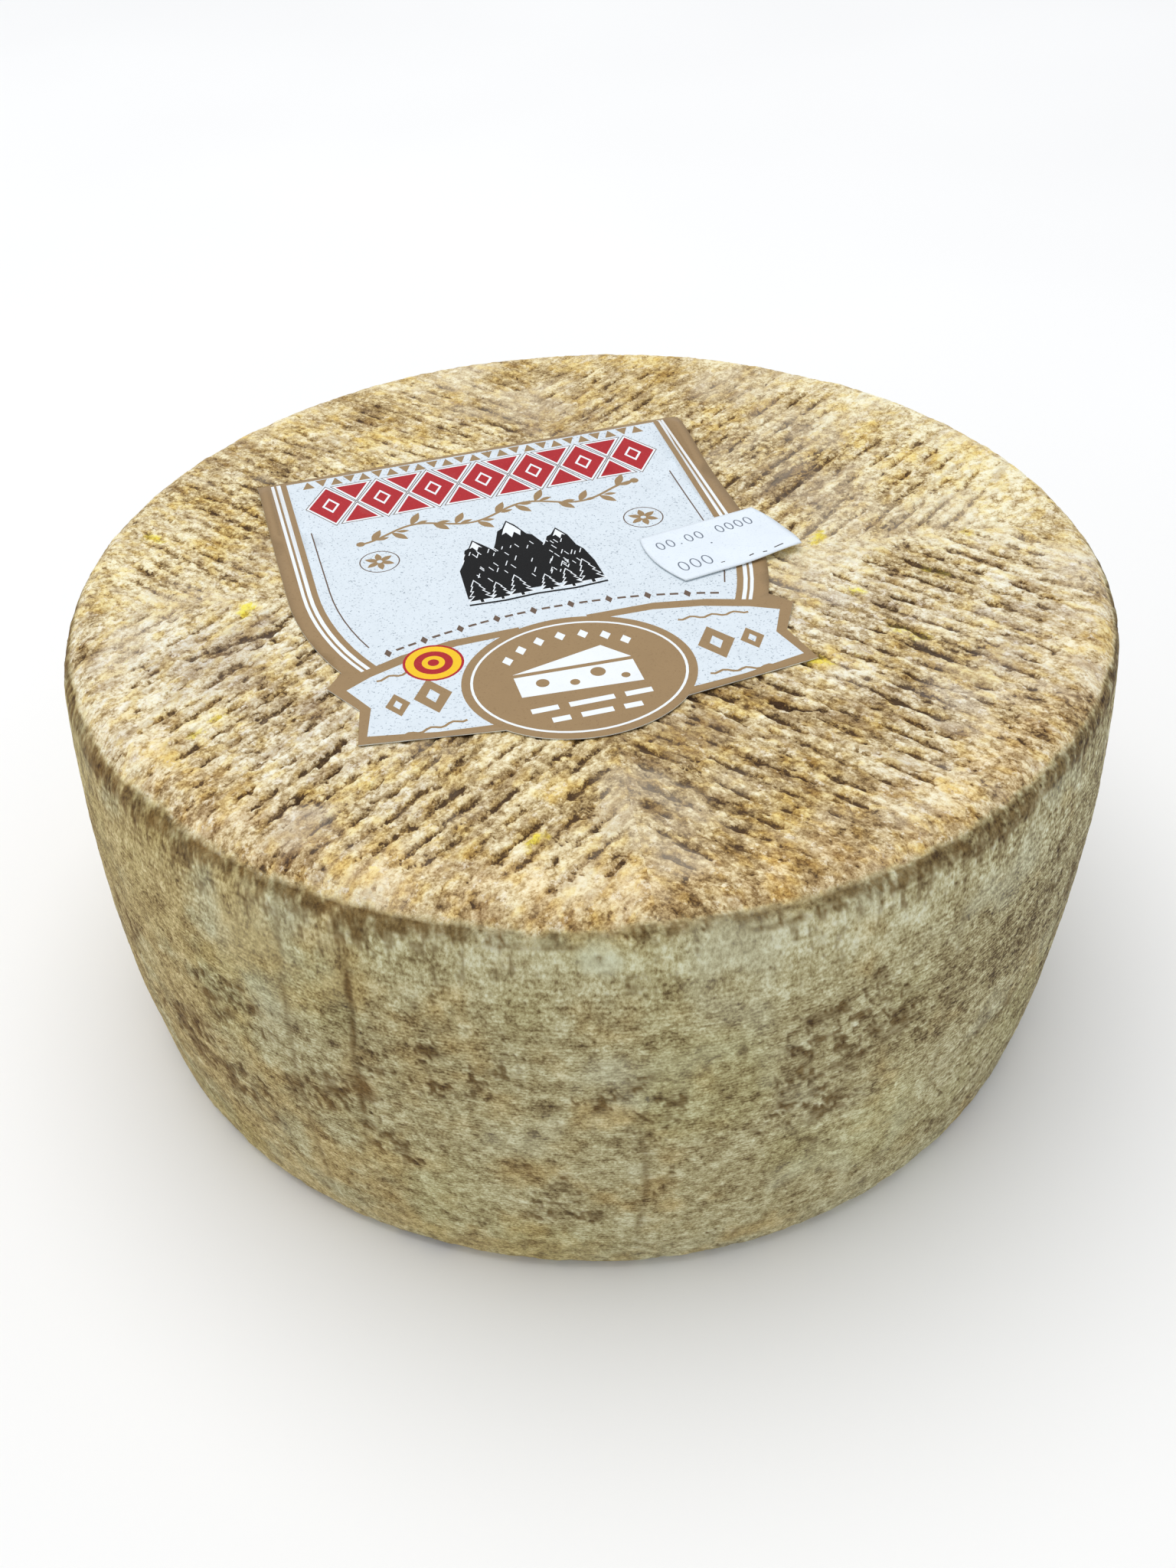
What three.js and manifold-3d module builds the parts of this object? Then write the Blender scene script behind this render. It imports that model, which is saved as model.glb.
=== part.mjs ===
import * as THREE from "three";
import { mergeVertices } from "three/addons/utils/BufferGeometryUtils.js";
import Module from "manifold-3d";

// A whole wheel of hard mountain cheese, lying flat, with a paper label and a small stamped
// sticker on its upper face. Millimetres, +Z up; the origin is the centre of the wheel's base.
//
// The wheel was pressed in a lined mould: its side swells a little, both edges are rounded, and
// the ribbed mat has left four fields of broken, parallel furrows on the upper face. The fields
// meet along the X and Y axes, and the furrows of each run along its own diagonal.

// ---- Wheel ----
const HEIGHT = 112.5;
const BASE_RADIUS = 120; // of the side's straight line, at the base
const TOP_RADIUS = 122; // the same, at the upper face
const SIDE_SWELL = 4.4; // how far the side stands out of that line, half way up
const BASE_ROUND = 4.7;
const TOP_ROUND = 6.5;
const WORN_ROUND = 3; // how much more the edge is rounded where it is worn
const WORN_AT = 228; // degrees from +X, the middle of the worn stretch
const WORN_SPREAD = 38; // degrees to either side
const OVAL = 0.35; // a twofold and a fourfold waviness of the plan
const SQUARISH = 0.25;
const SPOKES = 96;
const SIDE_STEPS = 5;
const ROUND_STEPS = 4;

// ---- Furrows ----
const FURROW_PITCH = 4.9;
const FURROW_REACH = 109; // distance from the axis at which the furrows fade out
const FURROW_WIDTH = [1.7, 2.7]; // least and most
const FURROW_DEPTH = [0.8, 1.6];
const FURROW_LENGTH = [7, 19];
const FURROW_BREAK = [2.2, 5.2]; // unbroken rind between two furrows of a row
const SEAM_MARGIN = 1.6; // between a furrow's end and the line where two fields meet
const FURROW_WANDER = 0.5; // how far a furrow strays sideways from its row
const FURROW_TURN = 3; // degrees by which its direction strays
const FURROW_ROWS = 15; // in each half of a field
const CUTTER_PROUD = 0.4; // how far a furrow's cutter stands out of the upper face

// ---- Paper ----
const PAPER = 0.3; // thickness of the label and the sticker
const GAP = 0.3; // air under each of them

const LABEL_CENTRE = [-11.1, -1.7];
const LABEL_TURN = 8.77; // degrees
const LABEL_HALF_WIDTH = 57.2;
const LABEL_TOP = 64; // far edge, from the label's centre
const SHOULDER = 8; // here the straight edges turn into a half ellipse
const SHIELD_DROP = 70; // that ellipse's other half axis
const SHIELD_STEPS = 6; // straight steps along each side of that ellipse
const RIBBON_MEETS = -26; // along the label, where the ribbon leaves the shield
const RIBBON_TIP = [54, -31]; // across and along
const RIBBON_NOTCH = [48.5, -41];
const RIBBON_TAIL = [51, -53];
const RIBBON_FOOT = 20; // across the label, where the ribbon runs into the plaque
const PLAQUE_CENTRE = -43;
const PLAQUE_HALF = [26, 22.5]; // across and along
const CURL_START = 30; // the far end of the label has come unstuck from here on
const CURL_CREST = 58;
const CURL_LIFT = 2.6;
const CURL_EDGE_LIFT = 0.3; // the edge itself bends back down
const LABEL_RINGS = [0.35, 0.62, 0.8, 0.9, 1];
const LABEL_STEP = 6.5; // distance between points along the outline
const LABEL_MARGIN = 1.07; // a furrow is left out where the label, shrunk by this, still hides it

const STICKER_CENTRE = [35, 3];
const STICKER_TURN = 18.2;
const STICKER_HALF = [15.4, 10.9];
const STICKER_END_BULGE = 1.8;
const STICKER_CORNER_LIFT = 1.1; // the corner off the label stands up a little
const STICKER_STEP = 3.2;
const STICKER_RINGS = [0.5, 1];

const RIND = 0xc9b388;
const LABEL_PAPER = 0xd3dee6;
const STICKER_PAPER = 0xe6f0f7;

const wasm = await Module();
wasm.setup();

const { degToRad: radians, lerp, smoothstep } = THREE.MathUtils;

// The same number from 0 to 1 each time for the same three whole numbers.
function chance(field, row, draw) {
  const wave = Math.sin(field * 127.1 + row * 311.7 + draw * 74.7) * 43758.5453;
  return wave - Math.floor(wave);
}

const between = ([least, most], share) => lerp(least, most, share);

// An indexed geometry from a list of points and a list of triangles.
function geometryOf(points, triangles) {
  const geometry = new THREE.BufferGeometry();
  geometry.setAttribute("position", new THREE.Float32BufferAttribute(points.flat(), 3));
  geometry.setIndex(triangles.flat());
  return geometry;
}

function solidOf(geometry) {
  const merged = mergeVertices(geometry, 1e-4);
  return new wasm.Manifold(
    new wasm.Mesh({
      numProp: 3,
      vertProperties: merged.attributes.position.array,
      triVerts: new Uint32Array(merged.index.array),
    }),
  );
}

function geometryFrom(solid) {
  const { vertProperties, triVerts } = solid.getMesh();
  const geometry = new THREE.BufferGeometry();
  geometry.setAttribute("position", new THREE.BufferAttribute(vertProperties, 3));
  geometry.setIndex(new THREE.BufferAttribute(triVerts, 1));
  return geometry;
}

function meshOf(name, geometry, colour, roughness) {
  const material = new THREE.MeshStandardMaterial({
    color: colour,
    roughness,
    metalness: 0,
    flatShading: true,
  });
  const mesh = new THREE.Mesh(geometry, material);
  mesh.name = name;
  return mesh;
}

// ---- The wheel's body ----

// Radius of the side at a height, before its edges are rounded.
function sideRadius(z) {
  const share = z / HEIGHT;
  return BASE_RADIUS + (TOP_RADIUS - BASE_RADIUS) * share + 4 * SIDE_SWELL * share * (1 - share);
}

// Rounding of the upper edge at an angle in degrees: more where the edge is worn.
function topRound(angle) {
  const away = (angle - WORN_AT) / WORN_SPREAD;
  return TOP_ROUND + WORN_ROUND * Math.exp(-away * away);
}

// The profile at one angle, from the base's edge up to the upper face's, as [radius, height].
function wheelProfile(angle) {
  const profile = [];
  const round = topRound(angle);
  for (let i = 0; i <= ROUND_STEPS; i++) {
    const t = (i / ROUND_STEPS) * (Math.PI / 2);
    const z = BASE_ROUND * (1 - Math.cos(t));
    profile.push([sideRadius(z) - BASE_ROUND * (1 - Math.sin(t)), z]);
  }
  for (let i = 1; i < SIDE_STEPS; i++) {
    const z = BASE_ROUND + (i / SIDE_STEPS) * (HEIGHT - round - BASE_ROUND);
    profile.push([sideRadius(z), z]);
  }
  for (let i = ROUND_STEPS; i >= 0; i--) {
    const t = (i / ROUND_STEPS) * (Math.PI / 2);
    const z = HEIGHT - round * (1 - Math.cos(t));
    profile.push([sideRadius(z) - round * (1 - Math.sin(t)), z]);
  }
  const wave = OVAL * Math.cos(2 * radians(angle + 20)) + SQUARISH * Math.cos(4 * radians(angle));
  return profile.map(([r, z]) => [r + wave, z]);
}

function wheelBody() {
  const points = [];
  const triangles = [];
  let rings = 0;
  for (let i = 0; i < SPOKES; i++) {
    const angle = (360 * i) / SPOKES;
    const profile = wheelProfile(angle);
    rings = profile.length;
    for (const [r, z] of profile) {
      points.push([r * Math.cos(radians(angle)), r * Math.sin(radians(angle)), z]);
    }
  }
  const baseMiddle = points.push([0, 0, 0]) - 1;
  const topMiddle = points.push([0, 0, HEIGHT]) - 1;
  for (let i = 0; i < SPOKES; i++) {
    const here = i * rings;
    const next = ((i + 1) % SPOKES) * rings;
    for (let j = 0; j < rings - 1; j++) {
      triangles.push([here + j, next + j, next + j + 1], [here + j, next + j + 1, here + j + 1]);
    }
    triangles.push([baseMiddle, next, here]);
    triangles.push([topMiddle, here + rings - 1, next + rings - 1]);
  }
  return solidOf(geometryOf(points, triangles));
}

// ---- Furrows ----

// Adds one boat-shaped cutter to the lists. In plan it is a strip with pointed ends, and below
// the upper face it narrows to a keel. It stands a little out of the face, widening as it rises.
function addFurrow(points, triangles, { x, y, turn, length, width, depth }) {
  const widen = (depth + CUTTER_PROUD) / depth;
  const shoulder = length / 2 - width;
  const side = (width / 2) * widen;
  const tip = shoulder + width * widen;
  const top = HEIGHT + CUTTER_PROUD;
  const keel = HEIGHT - depth;
  const boat = [
    [-tip, 0, top],
    [-shoulder, -side, top],
    [shoulder, -side, top],
    [tip, 0, top],
    [shoulder, side, top],
    [-shoulder, side, top],
    [-shoulder, 0, keel],
    [shoulder, 0, keel],
  ];
  const first = points.length;
  for (const [along, across, z] of boat) {
    points.push([
      x + along * Math.cos(turn) - across * Math.sin(turn),
      y + along * Math.sin(turn) + across * Math.cos(turn),
      z,
    ]);
  }
  const faces = [
    [0, 1, 2],
    [0, 2, 3],
    [0, 3, 4],
    [0, 4, 5],
    [1, 0, 6],
    [0, 5, 6],
    [3, 2, 7],
    [4, 3, 7],
    [2, 1, 6],
    [2, 6, 7],
    [5, 4, 7],
    [5, 7, 6],
  ];
  triangles.push(...faces.map((face) => face.map((corner) => first + corner)));
}

// Whether a point of the upper face lies well inside the label's outline.
function isUnderLabel(x, y, outline) {
  const cos = Math.cos(radians(LABEL_TURN));
  const sin = Math.sin(radians(LABEL_TURN));
  const a = ((x - LABEL_CENTRE[0]) * cos + (y - LABEL_CENTRE[1]) * sin) * LABEL_MARGIN;
  const b = ((y - LABEL_CENTRE[1]) * cos - (x - LABEL_CENTRE[0]) * sin) * LABEL_MARGIN;
  let inside = false;
  outline.forEach(([a1, b1], i) => {
    const [a2, b2] = outline[(i + 1) % outline.length];
    if (b1 > b !== b2 > b && a < a1 + ((a2 - a1) * (b - b1)) / (b2 - b1)) inside = !inside;
  });
  return inside;
}

function furrowCutters(labelOutline) {
  const points = [];
  const triangles = [];
  for (let field = 0; field < 4; field++) {
    const diagonal = radians(45 + 90 * field);
    for (let row = -FURROW_ROWS; row < FURROW_ROWS; row++) {
      const offset = (row + 0.5) * FURROW_PITCH;
      const end = Math.sqrt(FURROW_REACH ** 2 - offset ** 2);
      let draw = 0;
      let along = Math.abs(offset) + SEAM_MARGIN + 3 * chance(field, row, draw++);
      while (true) {
        const length = between(FURROW_LENGTH, chance(field, row, draw++));
        const last = Math.min(along + length, end + 2 * chance(field, row, draw++));
        if (last - along < FURROW_LENGTH[0]) break;
        const middle = (along + last) / 2;
        const stray = FURROW_WANDER * (2 * chance(field, row, draw++) - 1);
        const across = offset + stray;
        const furrow = {
          x: middle * Math.cos(diagonal) - across * Math.sin(diagonal),
          y: middle * Math.sin(diagonal) + across * Math.cos(diagonal),
          turn: diagonal + radians(FURROW_TURN * (2 * chance(field, row, draw++) - 1)),
          length: last - along,
          width: between(FURROW_WIDTH, chance(field, row, draw++)),
          depth: between(FURROW_DEPTH, chance(field, row, draw++)),
        };
        if (!isUnderLabel(furrow.x, furrow.y, labelOutline)) addFurrow(points, triangles, furrow);
        along = last + between(FURROW_BREAK, chance(field, row, draw++));
      }
    }
  }
  return solidOf(geometryOf(points, triangles));
}

// ---- Paper ----

// A thin sheet around its own origin: the outline shrunk to each ring, lifted by a height
// function, with an upper and a lower face of the same triangles.
function sheetGeometry(outline, rings, lift) {
  const points = [];
  const triangles = [];
  const corners = outline.length;
  const faceSize = 1 + rings.length * corners;
  for (const thickness of [0, PAPER]) {
    points.push([0, 0, lift(0, 0) + thickness]);
    for (const ring of rings) {
      for (const [a, b] of outline) {
        points.push([a * ring, b * ring, lift(a * ring, b * ring) + thickness]);
      }
    }
  }
  const addFace = (one, two, three) => {
    triangles.push([faceSize + one, faceSize + two, faceSize + three]);
    triangles.push([one, three, two]);
  };
  for (let i = 0; i < corners; i++) {
    const next = (i + 1) % corners;
    addFace(0, 1 + i, 1 + next);
    for (let ring = 1; ring < rings.length; ring++) {
      const inner = 1 + (ring - 1) * corners;
      const outer = 1 + ring * corners;
      addFace(inner + i, outer + i, outer + next);
      addFace(inner + i, outer + next, inner + next);
    }
    const rim = 1 + (rings.length - 1) * corners;
    triangles.push([rim + i, rim + next, faceSize + rim + next]);
    triangles.push([rim + i, faceSize + rim + next, faceSize + rim + i]);
  }
  return geometryOf(points, triangles);
}

// Points along a closed path, at most a step apart, that keep every corner of the path.
function pathPoints(path, step) {
  return path.curves.flatMap((curve) => {
    const parts = Math.max(1, Math.ceil(curve.getLength() / step));
    return curve.getSpacedPoints(parts).slice(1).map((point) => [point.x, point.y]);
  });
}

// The label: a shield with straight sides, then the forked ends of a ribbon, then a round plaque.
// It is drawn anticlockwise from its far left corner.
function labelPath() {
  const path = new THREE.Path();
  const shieldSide = (from, to) => {
    for (let i = 1; i <= SHIELD_STEPS; i++) {
      const t = lerp(from, to, i / SHIELD_STEPS);
      path.lineTo(LABEL_HALF_WIDTH * Math.cos(t), SHOULDER + SHIELD_DROP * Math.sin(t));
    }
  };
  const meets = Math.asin((RIBBON_MEETS - SHOULDER) / SHIELD_DROP);
  const plaqueFrom = Math.acos(RIBBON_FOOT / PLAQUE_HALF[0]);
  const footHeight = PLAQUE_CENTRE - PLAQUE_HALF[1] * Math.sin(plaqueFrom);
  path.moveTo(-LABEL_HALF_WIDTH, LABEL_TOP);
  path.lineTo(-LABEL_HALF_WIDTH, SHOULDER);
  shieldSide(-Math.PI, -Math.PI - meets);
  for (const [a, b] of [RIBBON_TIP, RIBBON_NOTCH, RIBBON_TAIL]) path.lineTo(-a, b);
  path.lineTo(-RIBBON_FOOT, footHeight);
  path.absellipse(0, PLAQUE_CENTRE, ...PLAQUE_HALF, Math.PI + plaqueFrom, -plaqueFrom, false);
  for (const [a, b] of [RIBBON_TAIL, RIBBON_NOTCH, RIBBON_TIP]) path.lineTo(a, b);
  path.lineTo(LABEL_HALF_WIDTH * Math.cos(meets), RIBBON_MEETS);
  shieldSide(meets, 0);
  path.lineTo(LABEL_HALF_WIDTH, LABEL_TOP);
  path.lineTo(-LABEL_HALF_WIDTH, LABEL_TOP);
  return path;
}

// The far end of the label rises off the rind to a crest and bends down behind it.
function labelLift(a, b) {
  const rise = CURL_LIFT * smoothstep(b, CURL_START, CURL_CREST);
  const fall = (CURL_LIFT - CURL_EDGE_LIFT) * smoothstep(b, CURL_CREST, LABEL_TOP);
  return rise - fall;
}

// The sticker: two straight long edges and two bulging ends.
function stickerPath() {
  const [half, low] = STICKER_HALF;
  const bulge = half + 2 * STICKER_END_BULGE; // control point of the end's curve
  const path = new THREE.Path();
  path.moveTo(-half, low);
  path.quadraticCurveTo(-bulge, 0, -half + STICKER_END_BULGE / 2, -low);
  path.lineTo(half + STICKER_END_BULGE / 2, -low);
  path.quadraticCurveTo(bulge, 0, half, low);
  path.lineTo(-half, low);
  return path;
}

function stickerLift(a, b) {
  const [half, low] = STICKER_HALF;
  const corner = smoothstep(a, 0, half) * smoothstep(-b, 0, low);
  return STICKER_CORNER_LIFT * corner;
}

// ---- The parts ----

const labelOutline = pathPoints(labelPath(), LABEL_STEP);
const stickerOutline = pathPoints(stickerPath(), STICKER_STEP);

const wheelSolid = wheelBody().subtract(furrowCutters(labelOutline));
const wheel = meshOf("cheese_wheel", geometryFrom(wheelSolid), RIND, 0.9);

const label = meshOf(
  "paper_label",
  sheetGeometry(labelOutline, LABEL_RINGS, labelLift),
  LABEL_PAPER,
  0.55,
);
label.position.set(...LABEL_CENTRE, HEIGHT + GAP);
label.rotation.z = radians(LABEL_TURN);

const sticker = meshOf(
  "date_sticker",
  sheetGeometry(stickerOutline, STICKER_RINGS, stickerLift),
  STICKER_PAPER,
  0.5,
);
sticker.position.set(...STICKER_CENTRE, HEIGHT + GAP + PAPER + GAP);
sticker.rotation.z = radians(STICKER_TURN);

const cheese = new THREE.Group();
cheese.add(wheel, label, sticker);

export default cheese;
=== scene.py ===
"""A whole wheel of hard mountain cheese with a paper label and a small stamped sticker.

The wheel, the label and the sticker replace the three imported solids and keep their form: the
rules for the profile, the furrows and the outlines are those of the solids, drawn finer. The
rind's grain is real relief down to about a millimetre, and its materials add what is finer.
Everything is worked out in millimetres and becomes metres when a mesh is made.
"""

import math
from itertools import product

import bpy
import numpy as np
from mathutils import Matrix, Vector
from mathutils.geometry import delaunay_2d_cdt


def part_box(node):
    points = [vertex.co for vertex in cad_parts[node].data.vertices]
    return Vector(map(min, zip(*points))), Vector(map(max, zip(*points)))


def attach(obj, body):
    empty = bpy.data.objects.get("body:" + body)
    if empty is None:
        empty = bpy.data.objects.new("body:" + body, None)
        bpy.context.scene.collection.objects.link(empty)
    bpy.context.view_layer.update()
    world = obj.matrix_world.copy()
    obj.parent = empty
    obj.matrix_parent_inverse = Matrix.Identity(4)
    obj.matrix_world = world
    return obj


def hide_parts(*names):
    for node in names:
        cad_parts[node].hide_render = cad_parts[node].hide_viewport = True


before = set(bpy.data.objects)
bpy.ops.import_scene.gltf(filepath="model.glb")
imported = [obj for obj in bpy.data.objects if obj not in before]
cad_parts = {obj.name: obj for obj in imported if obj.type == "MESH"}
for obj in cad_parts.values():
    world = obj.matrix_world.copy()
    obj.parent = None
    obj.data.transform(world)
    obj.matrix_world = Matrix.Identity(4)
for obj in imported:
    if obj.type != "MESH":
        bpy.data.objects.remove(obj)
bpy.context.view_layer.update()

MM = 0.001  # metres

# The wheel's form
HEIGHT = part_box("cheese_wheel")[1][2] / MM
BASE_RADIUS = 120.0  # of the side's straight line, at the base
TOP_RADIUS = 122.0  # the same, at the upper face
SIDE_SWELL = 4.4  # how far the side stands out of that line, half way up
BASE_ROUND = 4.7
TOP_ROUND = 6.5
WORN_ROUND = 3.0  # how much more the edge is rounded where it is worn
WORN_AT = 228.0  # degrees from +X
WORN_SPREAD = 38.0
OVAL = 0.35  # a twofold and a fourfold waviness of the plan
SQUARISH = 0.25

# Furrows of the upper face
FURROW_PITCH = 4.9
FURROW_REACH = 109.0
FURROW_WIDTH = (1.7, 2.7)
FURROW_DEPTH = (0.8, 1.6)
FURROW_LENGTH = (7.0, 19.0)
FURROW_BREAK = (2.2, 5.2)
SEAM_MARGIN = 1.6
FURROW_WANDER = 0.5
FURROW_TURN = 3.0
FURROW_ROWS = 15

# Label and sticker
LABEL_CENTRE = (-11.1, -1.7)
LABEL_TURN = 8.77  # degrees
LABEL_THICKNESS = 0.22
LABEL_GRID = 2.6  # pitch of the points that let the sheet bend
LABEL_HALF_WIDTH = 57.2
LABEL_TOP = 64.0
SHOULDER = 8.0  # here the label's straight edges turn into a half ellipse
SHIELD_DROP = 70.0  # that ellipse's other half axis
RIBBON_MEETS = -26.0
RIBBON_TIP = (54.0, -31.0)
RIBBON_NOTCH = (48.5, -41.0)
RIBBON_TAIL = (51.0, -53.0)
RIBBON_FOOT = 20.0
PLAQUE_CENTRE = -43.0
PLAQUE_HALF = (26.0, 22.5)
CURL_START = 30.0
CURL_CREST = 58.0
CURL_LIFT = 2.6
CURL_EDGE_LIFT = 0.3

STICKER_CENTRE = (35.0, 3.0)
STICKER_TURN = 18.2
STICKER_THICKNESS = 0.16
STICKER_GRID = 1.1
STICKER_HALF = (15.4, 10.9)
STICKER_END_BULGE = 1.8
STICKER_CORNER_LIFT = 1.1


# ---- numbers ----

def smoothstep(x, low, high):
    """Eases from 0 at low to 1 at high."""
    t = np.clip((x - low) / (high - low), 0.0, 1.0)
    return t * t * (3.0 - 2.0 * t)


def window(value, start, full, fade, end):
    """Rises from 0 at start to 1 at full, and falls again from fade to end."""
    return smoothstep(value, start, full) * (1 - smoothstep(value, fade, end))


def bell(away, width):
    return np.exp(-((away / width) ** 2))


def lattice(ix, iy, iz, seed):
    """A number from 0 to 1 for each point of a lattice of whole numbers."""
    mixed = ix * 374761393 + iy * 668265263 + iz * 1442695041 + seed * 1274126177
    mixed = mixed.astype(np.uint32)
    mixed = (mixed ^ (mixed >> 15)) * np.uint32(2246822519)
    mixed = (mixed ^ (mixed >> 13)) * np.uint32(3266489917)
    return (mixed ^ (mixed >> 16)).astype(float) / 2**32


def noise(x, y, z, size, seed):
    """Smooth noise from -1 to 1, with lumps about size across."""
    cells, eased = [], []
    for value in (x, y, z):
        scaled = np.asarray(value, float) / size + seed * 0.37
        cell = np.floor(scaled)
        part = scaled - cell
        cells.append(cell.astype(np.int64))
        eased.append(part**3 * (part * (part * 6 - 15) + 10))
    total = 0.0
    for corner in product((0, 1), repeat=3):
        weight = 1.0
        for axis in range(3):
            weight = weight * (eased[axis] if corner[axis] else 1.0 - eased[axis])
        total = total + weight * lattice(*(cells[k] + corner[k] for k in range(3)), seed)
    return 2.0 * total - 1.0


def layered(x, y, z, size, seed, layers=3):
    """Noise with finer and weaker noise on top of it, from about -1 to 1."""
    total = sum(0.55**k * noise(x, y, z, size / 2.1**k, seed + 17 * k) for k in range(layers))
    return total / sum(0.55**k for k in range(layers)) * 1.4


def crumbs(x, y, size, seed):
    """Rounded grains about size across: 1 at a grain's middle, 0 and below between grains."""
    sx, sy = x / size, y / size
    cx, cy = np.floor(sx).astype(np.int64), np.floor(sy).astype(np.int64)
    nearest = np.full(np.shape(sx), 9.0)
    for dx, dy in product((-1, 0, 1), repeat=2):
        gx, gy = cx + dx, cy + dy
        away = (gx + lattice(gx, gy, gx * 0, seed) - sx) ** 2
        away = away + (gy + lattice(gx, gy, gx * 0, seed + 1) - sy) ** 2
        nearest = np.minimum(nearest, away)
    return 1.0 - 1.6 * nearest


def chance(field, row, draw):
    """The same number from 0 to 1 each time for the same three whole numbers."""
    wave = math.sin(field * 127.1 + row * 311.7 + draw * 74.7) * 43758.5453
    return wave - math.floor(wave)


def between(limits, share):
    return limits[0] + (limits[1] - limits[0]) * share


# ---- the wheel's profile ----

def side_radius(z):
    """Radius of the side at a height, before its edges are rounded."""
    share = z / HEIGHT
    return BASE_RADIUS + (TOP_RADIUS - BASE_RADIUS) * share + 4 * SIDE_SWELL * share * (1 - share)


def top_round(angle):
    """Rounding of the upper edge at an angle in degrees."""
    away = (angle - WORN_AT) / WORN_SPREAD
    return TOP_ROUND + WORN_ROUND * np.exp(-away * away)


def plan_wave(angle):
    return OVAL * np.cos(2 * np.radians(angle + 20)) + SQUARISH * np.cos(4 * np.radians(angle))


def place_face(share, angle):
    """Radius, height and normal (outward, up) at a share of the flat upper face's radius."""
    edge = side_radius(HEIGHT) - top_round(angle) + plan_wave(angle)
    return share * edge, HEIGHT, 0, 1


def place_top_edge(turn, angle):
    """The same at a turn of 0 (flat face) to 90 degrees (side) round the upper edge."""
    t, size = math.radians(turn), top_round(angle)
    z = HEIGHT - size * (1 - math.cos(t))
    r = side_radius(z) - size * (1 - math.sin(t)) + plan_wave(angle)
    return r, z, math.sin(t), math.cos(t)


def place_side(share, angle):
    """The same at a share of the way down the side."""
    start = HEIGHT - top_round(angle)
    z = start + (BASE_ROUND - start) * share
    return side_radius(z) + plan_wave(angle), z, 1, 0


def place_base_edge(turn, angle):
    """The same at a turn of 0 (side) to 90 degrees (underside) round the lower edge."""
    t = math.radians(turn)
    z = BASE_ROUND * (1 - math.sin(t))
    r = side_radius(z) - BASE_ROUND * (1 - math.cos(t)) + plan_wave(angle)
    return r, z, math.cos(t), -math.sin(t)


def place_base(share, angle):
    """The same at a share of the way in across the underside."""
    edge = side_radius(0.0) - BASE_ROUND + plan_wave(angle)
    return edge * (1 - share), 0, 0, -1


FACE_RADIUS = TOP_RADIUS - TOP_ROUND
SPOKES = 1200  # in every ring from the outer half of the upper face to the lower edge


def disc_shares(steps):
    """(spokes, share) from the middle out. steps: (inner radius, ring pitch, spokes)."""
    rings = []
    for (start, pitch, spokes), (stop, _, _) in zip(steps, steps[1:] + [(FACE_RADIUS, 0, 0)]):
        count = max(1, round((stop - start) / pitch))
        rings += [(spokes, (start + (stop - start) * i / count) / FACE_RADIUS) for i in range(count)]
    return rings


def wheel_rings():
    """Every ring of the wheel's skin as (spokes, placing function, its number), top to base."""
    fine = [(3, 3, 75), (9, 2.2, 150), (18, 1.4, 300), (32, 0.75, 600), (58, 0.6, SPOKES)]
    plain = [(4, 4, 75), (12, 3, 150), (28, 2.2, 300), (58, 1.3, 600)]
    rings = [(spokes, place_face, share) for spokes, share in disc_shares(fine)]
    rings += [(SPOKES, place_top_edge, 90 * i / 13) for i in range(13)]
    rings += [(SPOKES, place_side, i / 100) for i in range(100)]
    rings += [(SPOKES, place_base_edge, 90 * i / 8) for i in range(9)]
    rings += [(spokes, place_base, 1 - share) for spokes, share in reversed(disc_shares(plain))]
    return rings


def band_faces(upper, lower, n_upper, n_lower):
    """Faces between two rings that start at the vertices upper and lower, seen from outside."""
    i = np.arange(min(n_upper, n_lower))
    if n_upper == n_lower:
        j = (i + 1) % n_upper
        return [np.stack([upper + i, lower + i, lower + j, upper + j], 1)]
    few, many = (upper, lower) if n_upper < n_lower else (lower, upper)
    here, there = few + i, few + (i + 1) % len(i)
    a, b, c = (many + (2 * i + k) % (2 * len(i)) for k in range(3))
    order = (0, 1, 2) if n_upper < n_lower else (0, 2, 1)
    faces = (here, a, b), (here, b, there), (there, b, c)
    return [np.stack([face[k] for k in order], 1) for face in faces]


# ---- the fields of the mat ----

def field_turned(field, x, y):
    """Distances along and across the diagonal of a field."""
    diagonal = np.radians(45.0 + 90.0 * field)
    along = x * np.cos(diagonal) + y * np.sin(diagonal)
    return along, y * np.cos(diagonal) - x * np.sin(diagonal)


def field_frame(x, y):
    """The field each point lies in, and its distances along and across that field's diagonal."""
    field = np.floor(np.degrees(np.arctan2(y, x)) / 90.0).astype(int) % 4
    return field, *field_turned(field, x, y)


def row_furrows(field, row):
    """Each furrow of a row as (middle along, middle across, turn, length, width, depth)."""
    offset = (row + 0.5) * FURROW_PITCH
    end = math.sqrt(FURROW_REACH**2 - offset**2)
    draws = iter(range(1000))

    def draw():
        return chance(field, row, next(draws))

    furrows = []
    along = abs(offset) + SEAM_MARGIN + 3 * draw()
    while True:
        length = between(FURROW_LENGTH, draw())
        last = min(along + length, end + 2 * draw())
        if last - along < FURROW_LENGTH[0]:
            return furrows
        across = offset + FURROW_WANDER * (2 * draw() - 1)
        turn = math.radians(FURROW_TURN * (2 * draw() - 1))
        width, depth = between(FURROW_WIDTH, draw()), between(FURROW_DEPTH, draw())
        furrows.append(((along + last) / 2, across, turn, last - along, width, depth))
        along = last + between(FURROW_BREAK, draw())


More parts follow.
